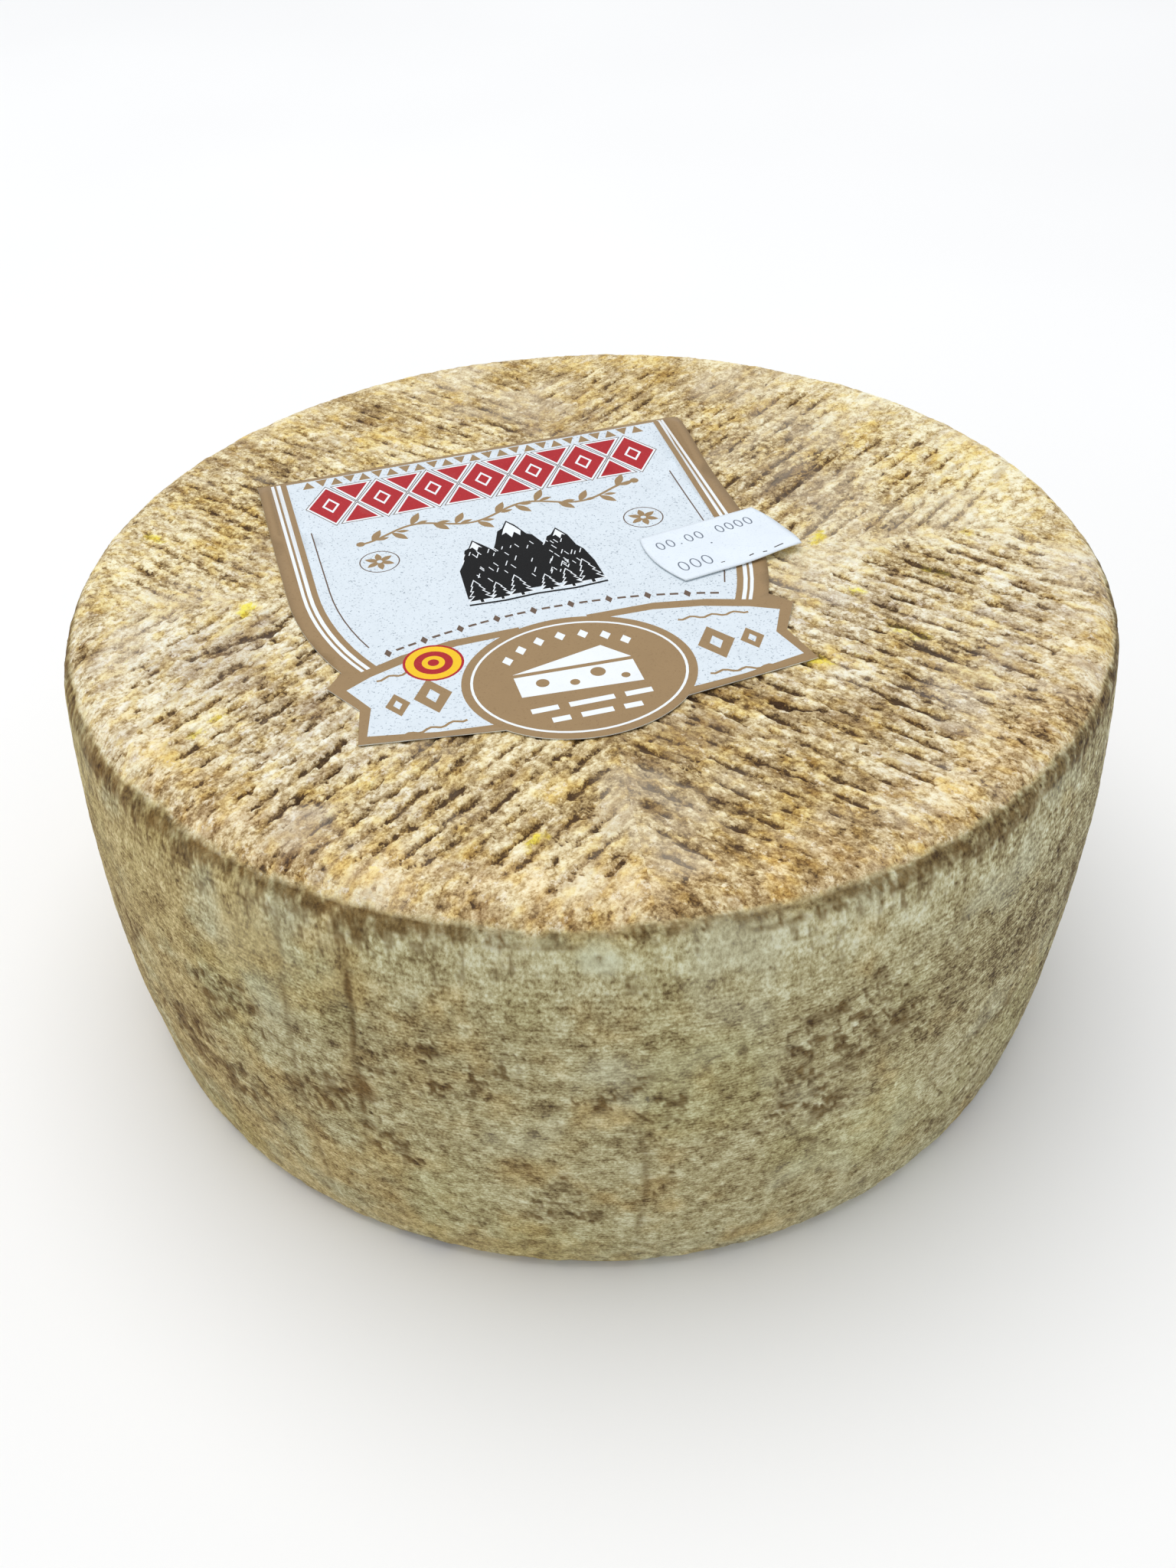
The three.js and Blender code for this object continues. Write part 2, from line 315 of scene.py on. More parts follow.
def furrow_slope(along, across, ragged, pinch, middle, side, turn, length, width):
    """From 0 at a furrow's ragged rim to 1 along its middle line."""
    da, dc = along - middle, across - side
    onward = da * math.cos(turn) + dc * math.sin(turn)
    aside = dc * math.cos(turn) - da * math.sin(turn) + 0.34 * ragged
    taper = np.clip((length / 2 - np.abs(onward)) / width, 0.0, 1.0)
    half = width / 2 * taper * (0.80 + 0.42 * pinch) + 1e-6
    return np.clip(1 - np.abs(aside) / half, 0.0, 1.0)


def valley_wave(across):
    """From 0 on the ridges between the rows to 1 in the furrows' middles."""
    return np.clip(0.5 - 0.5 * np.cos(2 * np.pi * across / FURROW_PITCH), 0, 1)


# ---- what marks the upper face ----

WORN_PATCHES = (  # smooth grey-brown places of the upper face: x, y, radius
    (-84, -24, 15), (-66, -88, 8), (-47, -49, 10), (14, -68, 10),
    (7, 80, 14), (-76, 18, 10), (60, 30, 12), (86, -52, 8),
)
FACE_SHADES = (  # broad darker and lighter places of the upper face: x, y, radius, change of tone
    (50, 41, 24, -0.18), (71, 21, 14, -0.13), (81, 59, 16, -0.11), (-79, 52, 20, -0.15),
    (-7, 96, 20, -0.14), (32, 88, 12, 0.08), (18, 113, 10, -0.07), (-48, 100, 18, -0.07),
    (-64, -36, 16, -0.14), (-32, -66, 10, -0.09), (-76, 22, 10, -0.06), (-111, -10, 10, -0.07),
    (-74, 6, 12, -0.06), (20, -58, 14, -0.12), (-14, -72, 15, 0.12), (-108, 30, 14, 0.15),
    (-8, -104, 14, 0.14), (96, -42, 20, 0.12), (64, -44, 12, 0.06), (70, -12, 12, 0.07),
    (52, -30, 10, 0.05), (24, -92, 12, 0.15), (58, -84, 14, 0.09), (38, -108, 10, -0.10),
    (4, -87, 8, -0.11), (-112, 12, 10, 0.08), (98, -14, 10, 0.07), (-90, -47, 14, 0.12),
    (-60, -96, 12, 0.07), (96, 17, 16, 0.12),
)
MOULD_SPOTS = (  # yellow mould on the upper face: x, y, radius, strength
    (-78.6, -4.1, 3.2, 1.0), (-104.2, 34.2, 2.8, 0.8), (-88.4, -51.2, 2.2, 0.6),
    (-83.7, -46.7, 2.0, 0.6), (59.4, 3.3, 2.8, 0.8), (81.1, -16.1, 3.0, 0.6),
    (93.6, -1.1, 2.2, 0.5), (62.5, -21.0, 2.6, 0.6), (70.2, -39.7, 4.0, 0.6),
    (47.1, -46.4, 2.8, 0.9), (-20.2, -96.9, 3.2, 0.7),
)
CRACKS = (  # ragged dark splits of the upper face, each as its corners
    ((-96, -21), (-91, -23.5), (-87, -20.5), (-83, -21.5)),
    ((-84, -20), (-78, -16.5), (-73, -15.5), (-70, -12.5)),
    ((-88, -24), (-82, -21), (-76, -20.5), (-72, -18)),
    ((-84, -30), (-80, -26.5), (-77, -27)),
    ((-66, -26), (-61, -22), (-57, -21)),
    ((-62, -66), (-58, -62), (-57, -58.5)),
    ((34, -60), (39, -63.5), (44, -64.5)),
)
FACE_REGIONS = {  # products of ramps: share of x, share of y, where the ramp starts and ends
    "near": ((0, -1, -60, 40),),  # the half towards the front is the coarser one
    "far": ((0, 1, 50, 100),),
    "back": ((0, 1, 0, 60),),  # here the crumbs are alike in tone
    "behind": ((0, 1, 0, 40),),  # here the material's grain is weaker
    "front": ((0.35, -1, 25, 85),),
    "middle": ((0, -1, 40, 70), (1, 0, -60, -30), (-1, 0, -70, -40)),  # of the front
    "left_rim": ((-1, 0, 50, 90),),
    "left_front": ((-1, 0, 20, 60), (0, -1, -5, 15)),
    "right": ((1, 0, 20, 80), (0, 1, -45, -5), (0, -1, -95, -60)),
    "right_front": ((1, 0, 20, 90), (0, -1, 20, 60)),
    "right_back": ((1, 0, 40, 100), (0, 1, -40, 20)),
    "ashy_left": ((-1, 0, 10, 60), (0, -1, -15, 15)),
    "ashy_right": ((1, 0, 10, 50), (0, -1, 0, 25)),
}
ROW_NOISE = {  # share of the length (under 1 it is drawn out along a row), size, seed, layers
    "lumps": (0.72, 2.0, 44, 3),
    "fine": (0.8, 1.2, 45, 1),
    "pecks": (0.7, 1.9, 49, 3),
    "streaks": (0.22, 1.3, 54, 2),
    "worn": (0.22, 2.6, 55, 3),
    "rubbed": (0.2, 3.0, 56, 3),
    "drift": (0.45, 8, 58, 2),
    "chalk": (0.25, 4.0, 60, 2),
    "scores": (0.2, 1.5, 61, 3),
}
FACE_NOISE = {  # size, seed, layers
    "worn": (7, 47, 3),
    "rubbed": (24, 48, 3),
    "clouds": (11, 50, 3),
    "ochre": (12, 51, 3),
    "blush": (5, 52, 3),
    "specks": (14, 53, 3),
    "drift": (30, 57, 2),
    "chalk": (22, 59, 2),
    "scores": (16, 62, 3),
    "firm": (22, 64, 2),
    "ash": (15, 65, 2),
}
PLAIN_SEED = 400  # added to the seed of a row noise where it is plain
FIELD_LAYER = 40.0  # how far apart the fields lie in the noise
UNDERSIDE_FIELDS = 10  # the underside's fields lie this many further on
CRUMB_RELIEF = {"grains": 0.08, "lumps": 0.15, "fine": 0.15}  # mm
CRUMB_TONE = {"grains": 0.06, "lumps": 0.09, "fine": 0.12}
FACE_RELIEF = {  # mm
    "streaks": 0.03, "swell": 0.12, "furrow": -1.0, "pecks": -0.45, "split": -0.9, "scores": -0.30,
}
# In FACE_TONE the negative weights of valley, opened, sunk, pecks, split and scores are painted shade in
# the recesses.
FACE_TONE = {
    "streaks": 0.07, "left_streaks": 0.04, "valley": -0.16, "opened": -0.12, "sunk": -0.06,
    "pecks": -0.16, "split": -0.25, "scores": -0.09, "swell": 0.06, "clouds": 0.12, "drift": 1.0,
    "shade": 1.0, "right_back": 0.02, "left_rim": -0.03, "far": 0.015, "middle": -0.03,
    "front": -0.09, "right_front": -0.05, "front_rim": 0.03, "chalk": 0.05,
}


def in_spot(x, y, spot, ragged, fade):
    """From 0 to 1, how much each point lies in a spot of x, y and radius with a ragged edge."""
    px, py, radius = spot
    return 1 - smoothstep(np.hypot(x - px, y - py) / radius + ragged, *fade)


class Marks:
    """Points of the wheel with numbers by name, each with a value for every point."""

    def weighed(self, weights):
        """The sum of the named numbers, each times its weight."""
        return sum(weight * getattr(self, name) for name, weight in weights.items())


class Face(Marks):
    """The upper face and its edge: relief in mm, tone, and the weights of its colours."""

    def __init__(self, x, y):
        self.x, self.y, self.flat = x, y, 0 * x
        self.field, self.along, self.across = field_frame(x, y)
        self.layer = self.field * FIELD_LAYER
        self.seam = smoothstep(np.minimum(np.abs(x), np.abs(y)), 0.4, 4.0)  # 0 where fields meet
        for name, ramps in FACE_REGIONS.items():
            setattr(self, name, math.prod(smoothstep(i * x + j * y, *ramp) for i, j, *ramp in ramps))
        self.front_rim = smoothstep(np.hypot(x, y), 97, 112) * smoothstep(-y, 10, 90)
        self.firm = 0.50 + 0.50 * smoothstep(self.plain("firm"), -0.40, 0.35)
        self.lay_crumbs()
        self.press_rows()
        self.wear()
        self.pit()
        self.shift_tone()
        self.colours = self.colour()
        calm, crisp = 0.65 + 0.35 * self.near, 1 - 0.15 * self.worn
        self.relief = calm * crisp * self.weighed(CRUMB_RELIEF) - 0.16 * calm * self.valley
        self.relief = self.relief + self.weighed(FACE_RELIEF) - 0.16
        even = 1 - 0.30 * self.back
        self.tone = 0.625 + even * crisp * self.weighed(CRUMB_TONE) + self.weighed(FACE_TONE)
        self.grit = 1 - 0.28 * self.near - 0.35 * self.far - 0.14 * self.middle - 0.12 * self.behind

    def plain(self, name):
        return layered(self.x, self.y, self.flat, *FACE_NOISE[name])

    def rowed(self, name):
        """Noise drawn out along the rows, and plain where two fields meet."""
        stretch, size, seed, layers = ROW_NOISE[name]
        drawn = layered(self.along * stretch, self.across, self.layer, size, seed, layers)
        plain = layered(self.x, self.y, self.flat, size, seed + PLAIN_SEED, layers)
        return self.seam * drawn + (1 - self.seam) * plain

    def lay_crumbs(self):
        """Crumbs, lumps and short streaks along the rows."""
        self.grains = crumbs(self.along * 0.8, self.across + 60 * self.field, 1.15, 43) * self.seam
        self.lumps, self.fine = self.rowed("lumps"), self.rowed("fine")
        self.streaks = self.rowed("streaks")
        self.left_streaks = self.left_front * self.streaks
        self.swell = noise(self.x, self.y, self.flat, 18, 46)

    def press_rows(self):
        """The furrows of the mat, and the valleys that hold them."""
        calm = 1 - 0.22 * self.middle
        depth, opened = self.furrow_depths()
        self.furrow = depth * (0.52 + 0.26 * self.near) * (0.75 + 0.25 * self.firm) * calm
        self.sunk = np.clip(self.furrow, 0, 1)
        self.opened = opened * (1 - 0.20 * self.middle) * (0.74 + 0.26 * self.near)
        wander = 0.6 * noise(self.x, self.y, self.layer, 8, 41)
        wander = wander + 0.35 * noise(self.x, self.y, self.layer, 1.9, 63)
        inner = 1 - smoothstep(np.hypot(self.x, self.y), FURROW_REACH - 4, FURROW_REACH + 4)
        valley = valley_wave(self.across + wander) ** 3 * inner * self.seam * self.firm
        uneven = layered(self.along * 0.3, self.across, self.layer, 6, 42)
        self.valley = np.clip(valley * (0.74 + 0.62 * uneven), 0, 1) * calm

    def furrow_depths(self):
        """How far each point lies down in a furrow, and how open that furrow is."""
        place = self.along, self.across, self.layer
        ragged = noise(self.along * 0.8, *place[1:], 1.35, 31) + 0.6 * noise(*place, 0.8, 34)
        pinch = noise(self.along, self.across * 0.5, self.layer, 2.6, 32)
        rough = noise(*place, 1.1, 33)
        coarse = smoothstep(0.45 * self.x - self.y, -50, 70)  # the right front is the most open
        gate = layered(self.along * 0.55, self.across * 0.45, self.layer, 3.4, 35, 2)
        gate = smoothstep(gate + 0.50 * coarse - 0.12, -0.30, 0.40)
        depths, opened = 0 * self.x, 0 * self.x
        for which, row in product(range(4), range(-FURROW_ROWS, FURROW_ROWS)):
            near = np.abs(self.across - (row + 0.5) * FURROW_PITCH) < 0.7 * FURROW_PITCH
            near = np.flatnonzero(near & (self.field == which))
            for furrow in row_furrows(which, row):
                some = near[np.abs(self.along[near] - furrow[0]) < furrow[3] / 2 + 1]
                uneven = ragged[some], pinch[some]
                slope = furrow_slope(self.along[some], self.across[some], *uneven, *furrow[:5])
                deepest = furrow[5]
                hole = np.clip(1.7 * slope, 0, 1) * (0.30 + 0.70 * gate[some])
                sunk = np.minimum(deepest * hole * (0.9 + 0.3 * rough[some]), deepest)
                depths[some] = np.maximum(depths[some], sunk)
                open_here = np.clip(2.2 * slope - 0.25, 0, 1) * gate[some]
                opened[some] = np.maximum(opened[some], open_here)
        return depths, opened

    def wear(self):
        """Smooth places, where the rows and crumbs are rubbed down."""
        self.ragged = 0.8 * self.plain("worn") + 1.2 * self.rowed("worn")
        spots = [in_spot(self.x, self.y, s, 0.45 * self.ragged, (0.55, 1.15)) for s in WORN_PATCHES]
        rubbed = smoothstep(self.plain("rubbed") + 0.9 * self.rowed("rubbed"), 0.70, 1.25)
        self.worn = np.maximum.reduce([0.52 * spot for spot in spots] + [0.5 * rubbed])

    def pit(self):
        """Pecks, scores and cracks, and the mask of painted shade in every recess."""
        self.pecks = smoothstep(self.rowed("pecks"), 0.60, 0.85) * (0.35 + 0.65 * self.near)
        self.scores = smoothstep(self.rowed("scores") + 0.35 * self.plain("scores"), 0.52, 0.90)
        self.split = self.crack_depths()
        self.painted_hollow_shade = np.maximum.reduce([
            0.48 * self.valley * (1 - 0.25 * self.far),
            (0.58 + 0.18 * self.firm) * self.opened,
            self.split,
            0.6 * self.pecks,
            0.55 * self.scores,
        ])

    def crack_depths(self):
        """From 0 to 1, how far each point lies down in a crack."""
        plane = self.x, self.y, self.flat
        bent_x, bent_y = (plane[k] + 0.9 * layered(*plane, 2.2, 36 + k) for k in (0, 1))
        breadth = 0.9 + 0.7 * layered(*plane, 4.0, 38)
        total = self.flat
        for (x1, y1), (x2, y2) in (pair for crack in CRACKS for pair in zip(crack, crack[1:])):
            dx, dy = x2 - x1, y2 - y1
            share = ((self.x - x1) * dx + (self.y - y1) * dy) / (dx * dx + dy * dy)
            share = np.clip(share, 0, 1)
            away = np.hypot(bent_x - x1 - share * dx, bent_y - y1 - share * dy)
            total = np.maximum(total, 1 - smoothstep(away, 0.3 * breadth, 1.1 * breadth + 0.2))
        return total * smoothstep(breadth, 0.35, 0.75)

    def shift_tone(self):
        """Broad changes of tone."""
        self.clouds = self.plain("clouds")
        drift = 0.7 * self.plain("drift") + self.rowed("drift")
        self.drift = np.where(drift > 0, 0.09, 0.15) * drift
        self.shade = sum(
            change * in_spot(self.x, self.y, spot, 0.35 * self.ragged, (0.30, 1.50))
            for *spot, change in FACE_SHADES
        )
        chalk = self.plain("chalk") + 0.5 * self.rowed("chalk") + 0.7 * self.right
        self.chalk = smoothstep(chalk, 0.20, 1.1)

    def mould(self):
        """Yellow mould: the placed spots, drawn out along the rows, and a scatter of specks."""
        specks = smoothstep(self.plain("specks"), 0.35, 0.8) * smoothstep(self.fine, 0.2, 0.7)
        total = 0.22 * specks
        for px, py, size, strength in MOULD_SPOTS:
            along, across = field_turned(self.field, self.x - px, self.y - py)
            away = np.hypot(0.7 * along, 1.25 * across) / size + 0.6 * self.lumps
            total = np.maximum(total, strength * (1 - smoothstep(away, 0.0, 1.4)))
        return total

    def colour(self):
        """Weights of the colours and painted shade that the rind's material adds, by attribute name."""
        ash = (self.ashy_left + self.ashy_right) * (0.75 + 0.45 * self.plain("ash"))
        return {
            "worn": self.worn,
            "ochre": smoothstep(self.plain("ochre") + 0.6 * self.lumps, 0.05, 1.0),
            "blush": np.clip(self.front_rim * (0.55 + 0.45 * self.plain("blush")), 0, 1),
            "mould": self.mould(),
            "chalk": self.chalk,
            "ash": np.clip(ash * (1 - 0.6 * self.front_rim), 0, 1),
            # painted shade in the furrows, pits, cracks and scores, which the material darkens
            "painted_hollow_shade": self.painted_hollow_shade,
        }


# ---- what marks the side ----

PALE_SPOT = (-5.2, 104.5, 4.6)  # a pale spot of the side: degrees right of the front, z, radius
SIDE_SHADES = (  # darker and lighter places of the side: degrees right of the front, z, radius, change
    (31, 36, 16, 0.10), (24, 40, 12, 0.05), (41, 32, 12, 0.07), (35, 72, 13, -0.06),
    (30, 8, 10, 0.04), (-23, 78, 13, -0.09), (43, 100, 12, 0.07),
)
FOLDS = (  # brown upright folds left by the cloth: degrees right of the front, top, foot, strength
    (-36.0, 112, 0, 0.55), (-28.7, 108, 34, 1.0), (-1.1, 60, 0, 0.6), (30.4, 108, 30, 0.45),
    (74.0, 104, 40, 0.6), (123.0, 90, 0, 0.7), (171.0, 108, 20, 0.6), (-146.0, 100, 30, 0.8),
    (-98.0, 70, 0, 0.5),
)
SIDE_REGIONS = {  # degrees right of the front at which each starts, is full, fades and ends
    "right": (15, 50, 110, 160),
    "left": (-160, -110, -60, -12),
    "dull": (-10, 20, 120, 165),
}
SIDE_NOISE = {  # share of the height (under 1 it is drawn out upwards), size, seed, layers
    "fibres": (0.32, 1.1, 61, 3),
    "threads": (1.4375, 1.625, 62, 3),
    "lumps": (1, 3.0, 63, 3),
    "swell": (1, 34, 64, 2),
    "clouds": (1, 15, 65, 3),
    "blotch": (1.1, 3.6, 66, 4),
    "speck": (1.15, 1.6, 67, 3),
    "fringe": (0.2, 2.6, 68, 3),
    "pale": (1, 19, 71, 3),
    "moss": (1, 27, 72, 2),
    "streak": (0.3, 1.2, 73, 3),
    "mottle": (1, 5.5, 74, 3),
    "hem": (0, 22, 75, 2),
    "crowd": (1.2, 17, 76, 2),
    "band": (0.12, 1.4, 77, 3),
    "straw": (1, 10, 78, 4),
    "soot": (1.3, 2.6, 79, 4),
}
SIDE_RELIEF = {  # mm
    "weave": 0.09, "lumps": 0.09, "swell": 0.35, "speck": -0.18, "blotch": -0.06, "streak": -0.12,
    "folds": -0.4, "crease": -0.35,
}
SIDE_TONE = {
    "weave": 0.17, "lumps": 0.13, "mottle": 0.07, "clouds": 0.05, "upper": 0.04, "right": -0.08,
    "upper_right": 0.035, "soot": -0.22, "shade": 1.0, "halo": 0.09, "pale_spot": 0.05,
    "foot_weave": 0.05,
}


class Side(Marks):
    """The side: relief in mm, tone, and the weights of its colours."""

    def __init__(self, x, y, z, angle):
        self.x, self.y, self.z = x, y, z
        self.azimuth = (angle + 90 + 180) % 360 - 180  # degrees right of the front
        self.arc = np.radians(self.azimuth) * TOP_RADIUS
        self.up, self.drop = z / HEIGHT, HEIGHT - z
        for name, degrees in SIDE_REGIONS.items():
            setattr(self, name, window(self.azimuth, *degrees))
        self.upper = smoothstep(self.up, 0.68, 0.92)
        self.upper_right = self.upper * smoothstep(self.azimuth, 0, 20)
        self.foot_band = 1 - smoothstep(self.up, 0.05, 0.13)
        for name in ("lumps", "swell", "clouds", "mottle"):
            setattr(self, name, self.drawn(name))
        combed = self.upper * (0.25 + 0.75 * smoothstep(np.abs(self.azimuth - 2), 8, 24))
        self.weave = 0.65 * combed * self.drawn("fibres") + (1 - combed) * self.drawn("threads")
        self.foot_weave = self.foot_band * self.weave
        self.spot()
        self.shade_stains()
        self.fold()
        self.hem()
        self.mark_pale_spot()
        self.colours = self.colour()
        self.relief = self.weighed(SIDE_RELIEF)
        self.tone = 0.45 + self.weighed(SIDE_TONE)
        self.grit = 0.85 + 0.60 * self.right + 0.15 * self.left

    def drawn(self, name):
        """The noise of a name, over the side."""
        rise, size, seed, layers = SIDE_NOISE[name]
        return layered(self.x, self.y, self.z * rise, size, seed, layers)

    def spot(self):
        """Brown blotches and specks, which crowd round the side's middle, and streaks above."""
        belt = window(self.up, 0.14, 0.40, 0.62, 0.86)
        crowd = smoothstep(self.drawn("crowd") + 0.55 * belt, 0.25, 0.95)
        self.blotch = smoothstep(self.drawn("blotch") + 0.80 * crowd, 0.50, 1.35)
        self.speck = smoothstep(self.drawn("speck") + 0.65 * crowd, 0.76, 1.02)
        self.soot = smoothstep(self.drawn("soot") + 0.35 * crowd, 1.00, 1.12)
        comb = smoothstep(np.abs(self.azimuth), 8, 24) * smoothstep(self.drop, 20, 8)
        streak = 1.15 * self.drawn("streak") + 0.25 * self.clouds + 0.50 * comb
        self.streak = smoothstep(streak, 0.55, 0.85) * self.upper
        self.stain = np.clip(0.66 * self.blotch + 0.80 * self.speck + 0.6 * self.streak, 0, 1)

    def shade_stains(self):
        """Darker places hold more stains and lighter ones fewer."""
        self.shade = 0
        for degrees, level, radius, change in SIDE_SHADES:
            spot = math.radians(degrees) * TOP_RADIUS, level, radius
            shade = change * in_spot(self.arc, self.z, spot, 0.35 * self.mottle, (0.30, 1.50))
            self.shade = self.shade + shade
            self.stain = np.clip(self.stain * (1 - 9 * shade), 0, 1)

    def fold(self):
        """Thin brown lines where the cloth was folded, each in a faint haze."""
        self.folds = 0
        for degrees, top, foot, strength in FOLDS:
            wander = 0.9 * noise(self.z, 0 * self.z, 0 * self.z, 22, int(abs(degrees)) + 70)
            away = np.abs(self.arc - math.radians(degrees) * TOP_RADIUS - wander)
            tall = strength * window(self.z, foot, foot + 18, top - 6, top + 1)
            line = tall * bell(away, 0.9) * np.clip(0.6 + 0.9 * self.lumps, 0, 1)
            haze = 0.25 * tall * bell(away, 5.0) * (0.5 + 0.5 * self.weave)
            self.stain = np.clip(np.maximum(self.stain, line) + haze, 0, 1)
            self.folds = self.folds + line

    def hem(self):
        """The brown band under the upper edge, and the crease and the pale halo at the front."""
        level = 0 * self.z
        aside = np.abs(self.azimuth)
        reach = 3.6 + 4.2 * smoothstep(aside, 10, 26) * (0.75 + 0.5 * self.drawn("hem"))
        reach = reach + 1.3 * self.drawn("fringe")
        band = window(self.drop, 1.4, 2.6, reach - 0.8, reach + 1.6)
        band = band * np.clip(0.8 + 0.8 * self.drawn("band"), 0, 1)
        self.halo = window(self.drop, reach, reach + 3, reach + 5, reach + 12)
        self.halo = self.halo * (1 - smoothstep(np.abs(self.azimuth - 2), 14, 30))
        crease_drop = 5.6 + 0.9 * noise(self.arc, level, level, 9, 69)
        self.crease = bell(self.drop - crease_drop, 0.7) * (1 - smoothstep(aside, 13, 19))
        broken = smoothstep(noise(self.arc, level, level, 6, 70), -0.6, 0.0)
        self.crease = self.crease * broken
        self.stain = np.clip(self.stain + 0.85 * band + 0.7 * self.crease, 0, 1)

    def mark_pale_spot(self):
        """One pale spot with a stain at its middle."""
        degrees, level, radius = PALE_SPOT
        spot = math.radians(degrees) * TOP_RADIUS, level, radius
        self.pale_spot = in_spot(self.arc, self.z, spot, 0.30 * self.mottle, (0.45, 1.30))
        away = np.hypot(self.arc - spot[0], self.z - level)
        self.stain = np.maximum(self.stain * (1 - self.pale_spot), bell(away, 0.8))

    def colour(self):
        """Weights of the colours that the rind's material adds, by attribute name."""
        pale = 0.8 * smoothstep(self.drawn("pale") + 0.20 * self.upper, 0.25, 0.95)
        pale = np.clip(pale + 0.45 * self.foot_band, 0, 1)
        straw = self.drawn("straw") + 0.9 * self.left + 0.4 * self.foot_band - 0.25 * self.dull
        return {
            "stain": self.stain,
            "pale": np.maximum(pale, 1.6 * self.pale_spot),
            "moss": smoothstep(self.drawn("moss"), -0.2, 0.7),
            "straw": smoothstep(straw, -0.1, 1.0),
        }


def base_marks(x, y):
    """Relief and tone of the underside, which the mat has marked more weakly."""
    field, along, across = field_frame(x, y)
    layer = (field + UNDERSIDE_FIELDS) * FIELD_LAYER
    valley = valley_wave(across) * (0.6 + 0.6 * layered(along * 0.25, across, layer, 7, 81, 2))
    valley = np.clip(valley, 0, 1) * (1 - smoothstep(np.hypot(x, y), 104, 112))
    lumps = layered(along * 0.6, across, layer, 3.2, 82)
    relief = np.minimum(-0.1 + 0.12 * lumps - 0.45 * valley, 0)
    # the tone is darker in the valleys: painted shade in these recesses
    return relief, 0.52 + 0.16 * lumps - 0.22 * valley + 0.06 * layered(x, y, layer, 16, 83)


# ---- meshes ----

def new_object(name, points, faces, smooth=True):
    """A mesh object from points in mm and a list of face arrays, each of one face size."""
    mesh = bpy.data.meshes.new(name)
    sizes = np.concatenate([np.full(len(f), f.shape[1]) for f in faces])
    corners = np.concatenate([f.ravel() for f in faces])
    mesh.vertices.add(len(points))
    mesh.vertices.foreach_set("co", (np.asarray(points) * MM).astype(np.float32).ravel())
    mesh.loops.add(len(corners))
    mesh.loops.foreach_set("vertex_index", corners.astype(np.int32))
    mesh.polygons.add(len(sizes))
    mesh.polygons.foreach_set("loop_start", (np.cumsum(sizes) - sizes).astype(np.int32))
    mesh.polygons.foreach_set("use_smooth", np.full(len(sizes), smooth))
    mesh.update(calc_edges=True)
    mesh.validate()
    piece = bpy.data.objects.new(name, mesh)
    bpy.context.scene.collection.objects.link(piece)
    return piece


def add_numbers(piece, name, values):
    layer = piece.data.attributes.new(name, "FLOAT", "POINT")
    layer.data.foreach_set("value", np.asarray(values, np.float32))


def add_vectors(piece, name, columns, domain="POINT"):
    layer = piece.data.attributes.new(name, "FLOAT_VECTOR", domain)
    layer.data.foreach_set("vector", np.stack(columns, 1).astype(np.float32).ravel())


def mesh_corners(mesh):
    """The vertex of every face corner, the face it belongs to, and each face's first corner."""
    vertex = np.zeros(len(mesh.loops), np.int32)
    mesh.loops.foreach_get("vertex_index", vertex)
    totals = np.zeros(len(mesh.polygons), np.int32)
    mesh.polygons.foreach_get("loop_total", totals)
    return vertex, np.repeat(np.arange(len(totals)), totals), np.cumsum(totals) - totals


def skin_points():
    """The wheel's bare skin: plan angle, radius, height, normal and ring kind of every point."""
    rings = wheel_rings()
    columns = [[] for _ in range(7)]
    for spokes, place, number in rings:
        angle = np.arange(spokes) * (360.0 / spokes)
        r, z, out, up = place(number, angle)
        turn = number if place is place_top_edge else 0.0
        turn = 90.0 if place in (place_side, place_base_edge) else turn
        under = float(place is place_base)
        for column, value in zip(columns, (angle, r, z, out, up, turn, under)):
            column.append(value + 0 * angle)
    return rings, [np.concatenate(column) for column in columns]


def skin_faces(rings):
    """Faces that join the rings, with a fan at the middle of each disc."""
    starts = np.cumsum([0] + [ring[0] for ring in rings])
    faces = []
    for k in range(len(rings) - 1):
        faces += band_faces(starts[k], starts[k + 1], rings[k][0], rings[k + 1][0])
    top_middle, base_middle = starts[-1], starts[-1] + 1
    for middle, start, count, flip in (
        (top_middle, starts[0], rings[0][0], False),
        (base_middle, starts[-2], rings[-1][0], True),
    ):
        i = np.arange(count)
        fan = [np.full(count, middle), start + i, start + (i + 1) % count]
        faces.append(np.stack([fan[0], fan[2], fan[1]] if flip else fan, 1))
    return faces


RIM_RAGGED = 5.0  # degrees round the upper edge, by which noise moves the border of the colours
RIM_TURNS = (44, 56)  # degrees between which the upper face's colours give way to the side's
BEND_TURNS = (15, 75)  # the same for the relief
UPPER_EDGE_RELIEF = (0.30, 0.10)  # mm, of lumps and of crumbs
LOWER_EDGE_RELIEF = 0.25  # mm
HIGHEST_CRUMB = 0.06  # mm over the solid's upper face
MIDDLE_INSET = (0.3, 0.1)  # mm, how far inside the wheel the middles of its two discs lie
CLOTH_PULL = (1.22, 0.54)  # how fast the cloth's coordinate runs with height, below and near the top
CLOTH_TURN = (0.70, 0.90)  # shares of the height between which one gives way to the other
CLOTH_ROUND = 0.92  # how fast it runs round the side
FACE_MAP = (0.31, 0.69, 0.60)  # middle and width of the upper face's square in the UV map
BASE_MAP = (0.81, 0.69, 0.36)
STRIP_MAP = (0.01, 0.19, 0.17)  # the side's strips: margin, step from one to the next, width


def blended(face, side, base, share, under):
    """The side's numbers where share is 1, the underside's where under is 1, else the face's."""
    return (face * (1 - share) + side * share) * (1 - under) + base * under


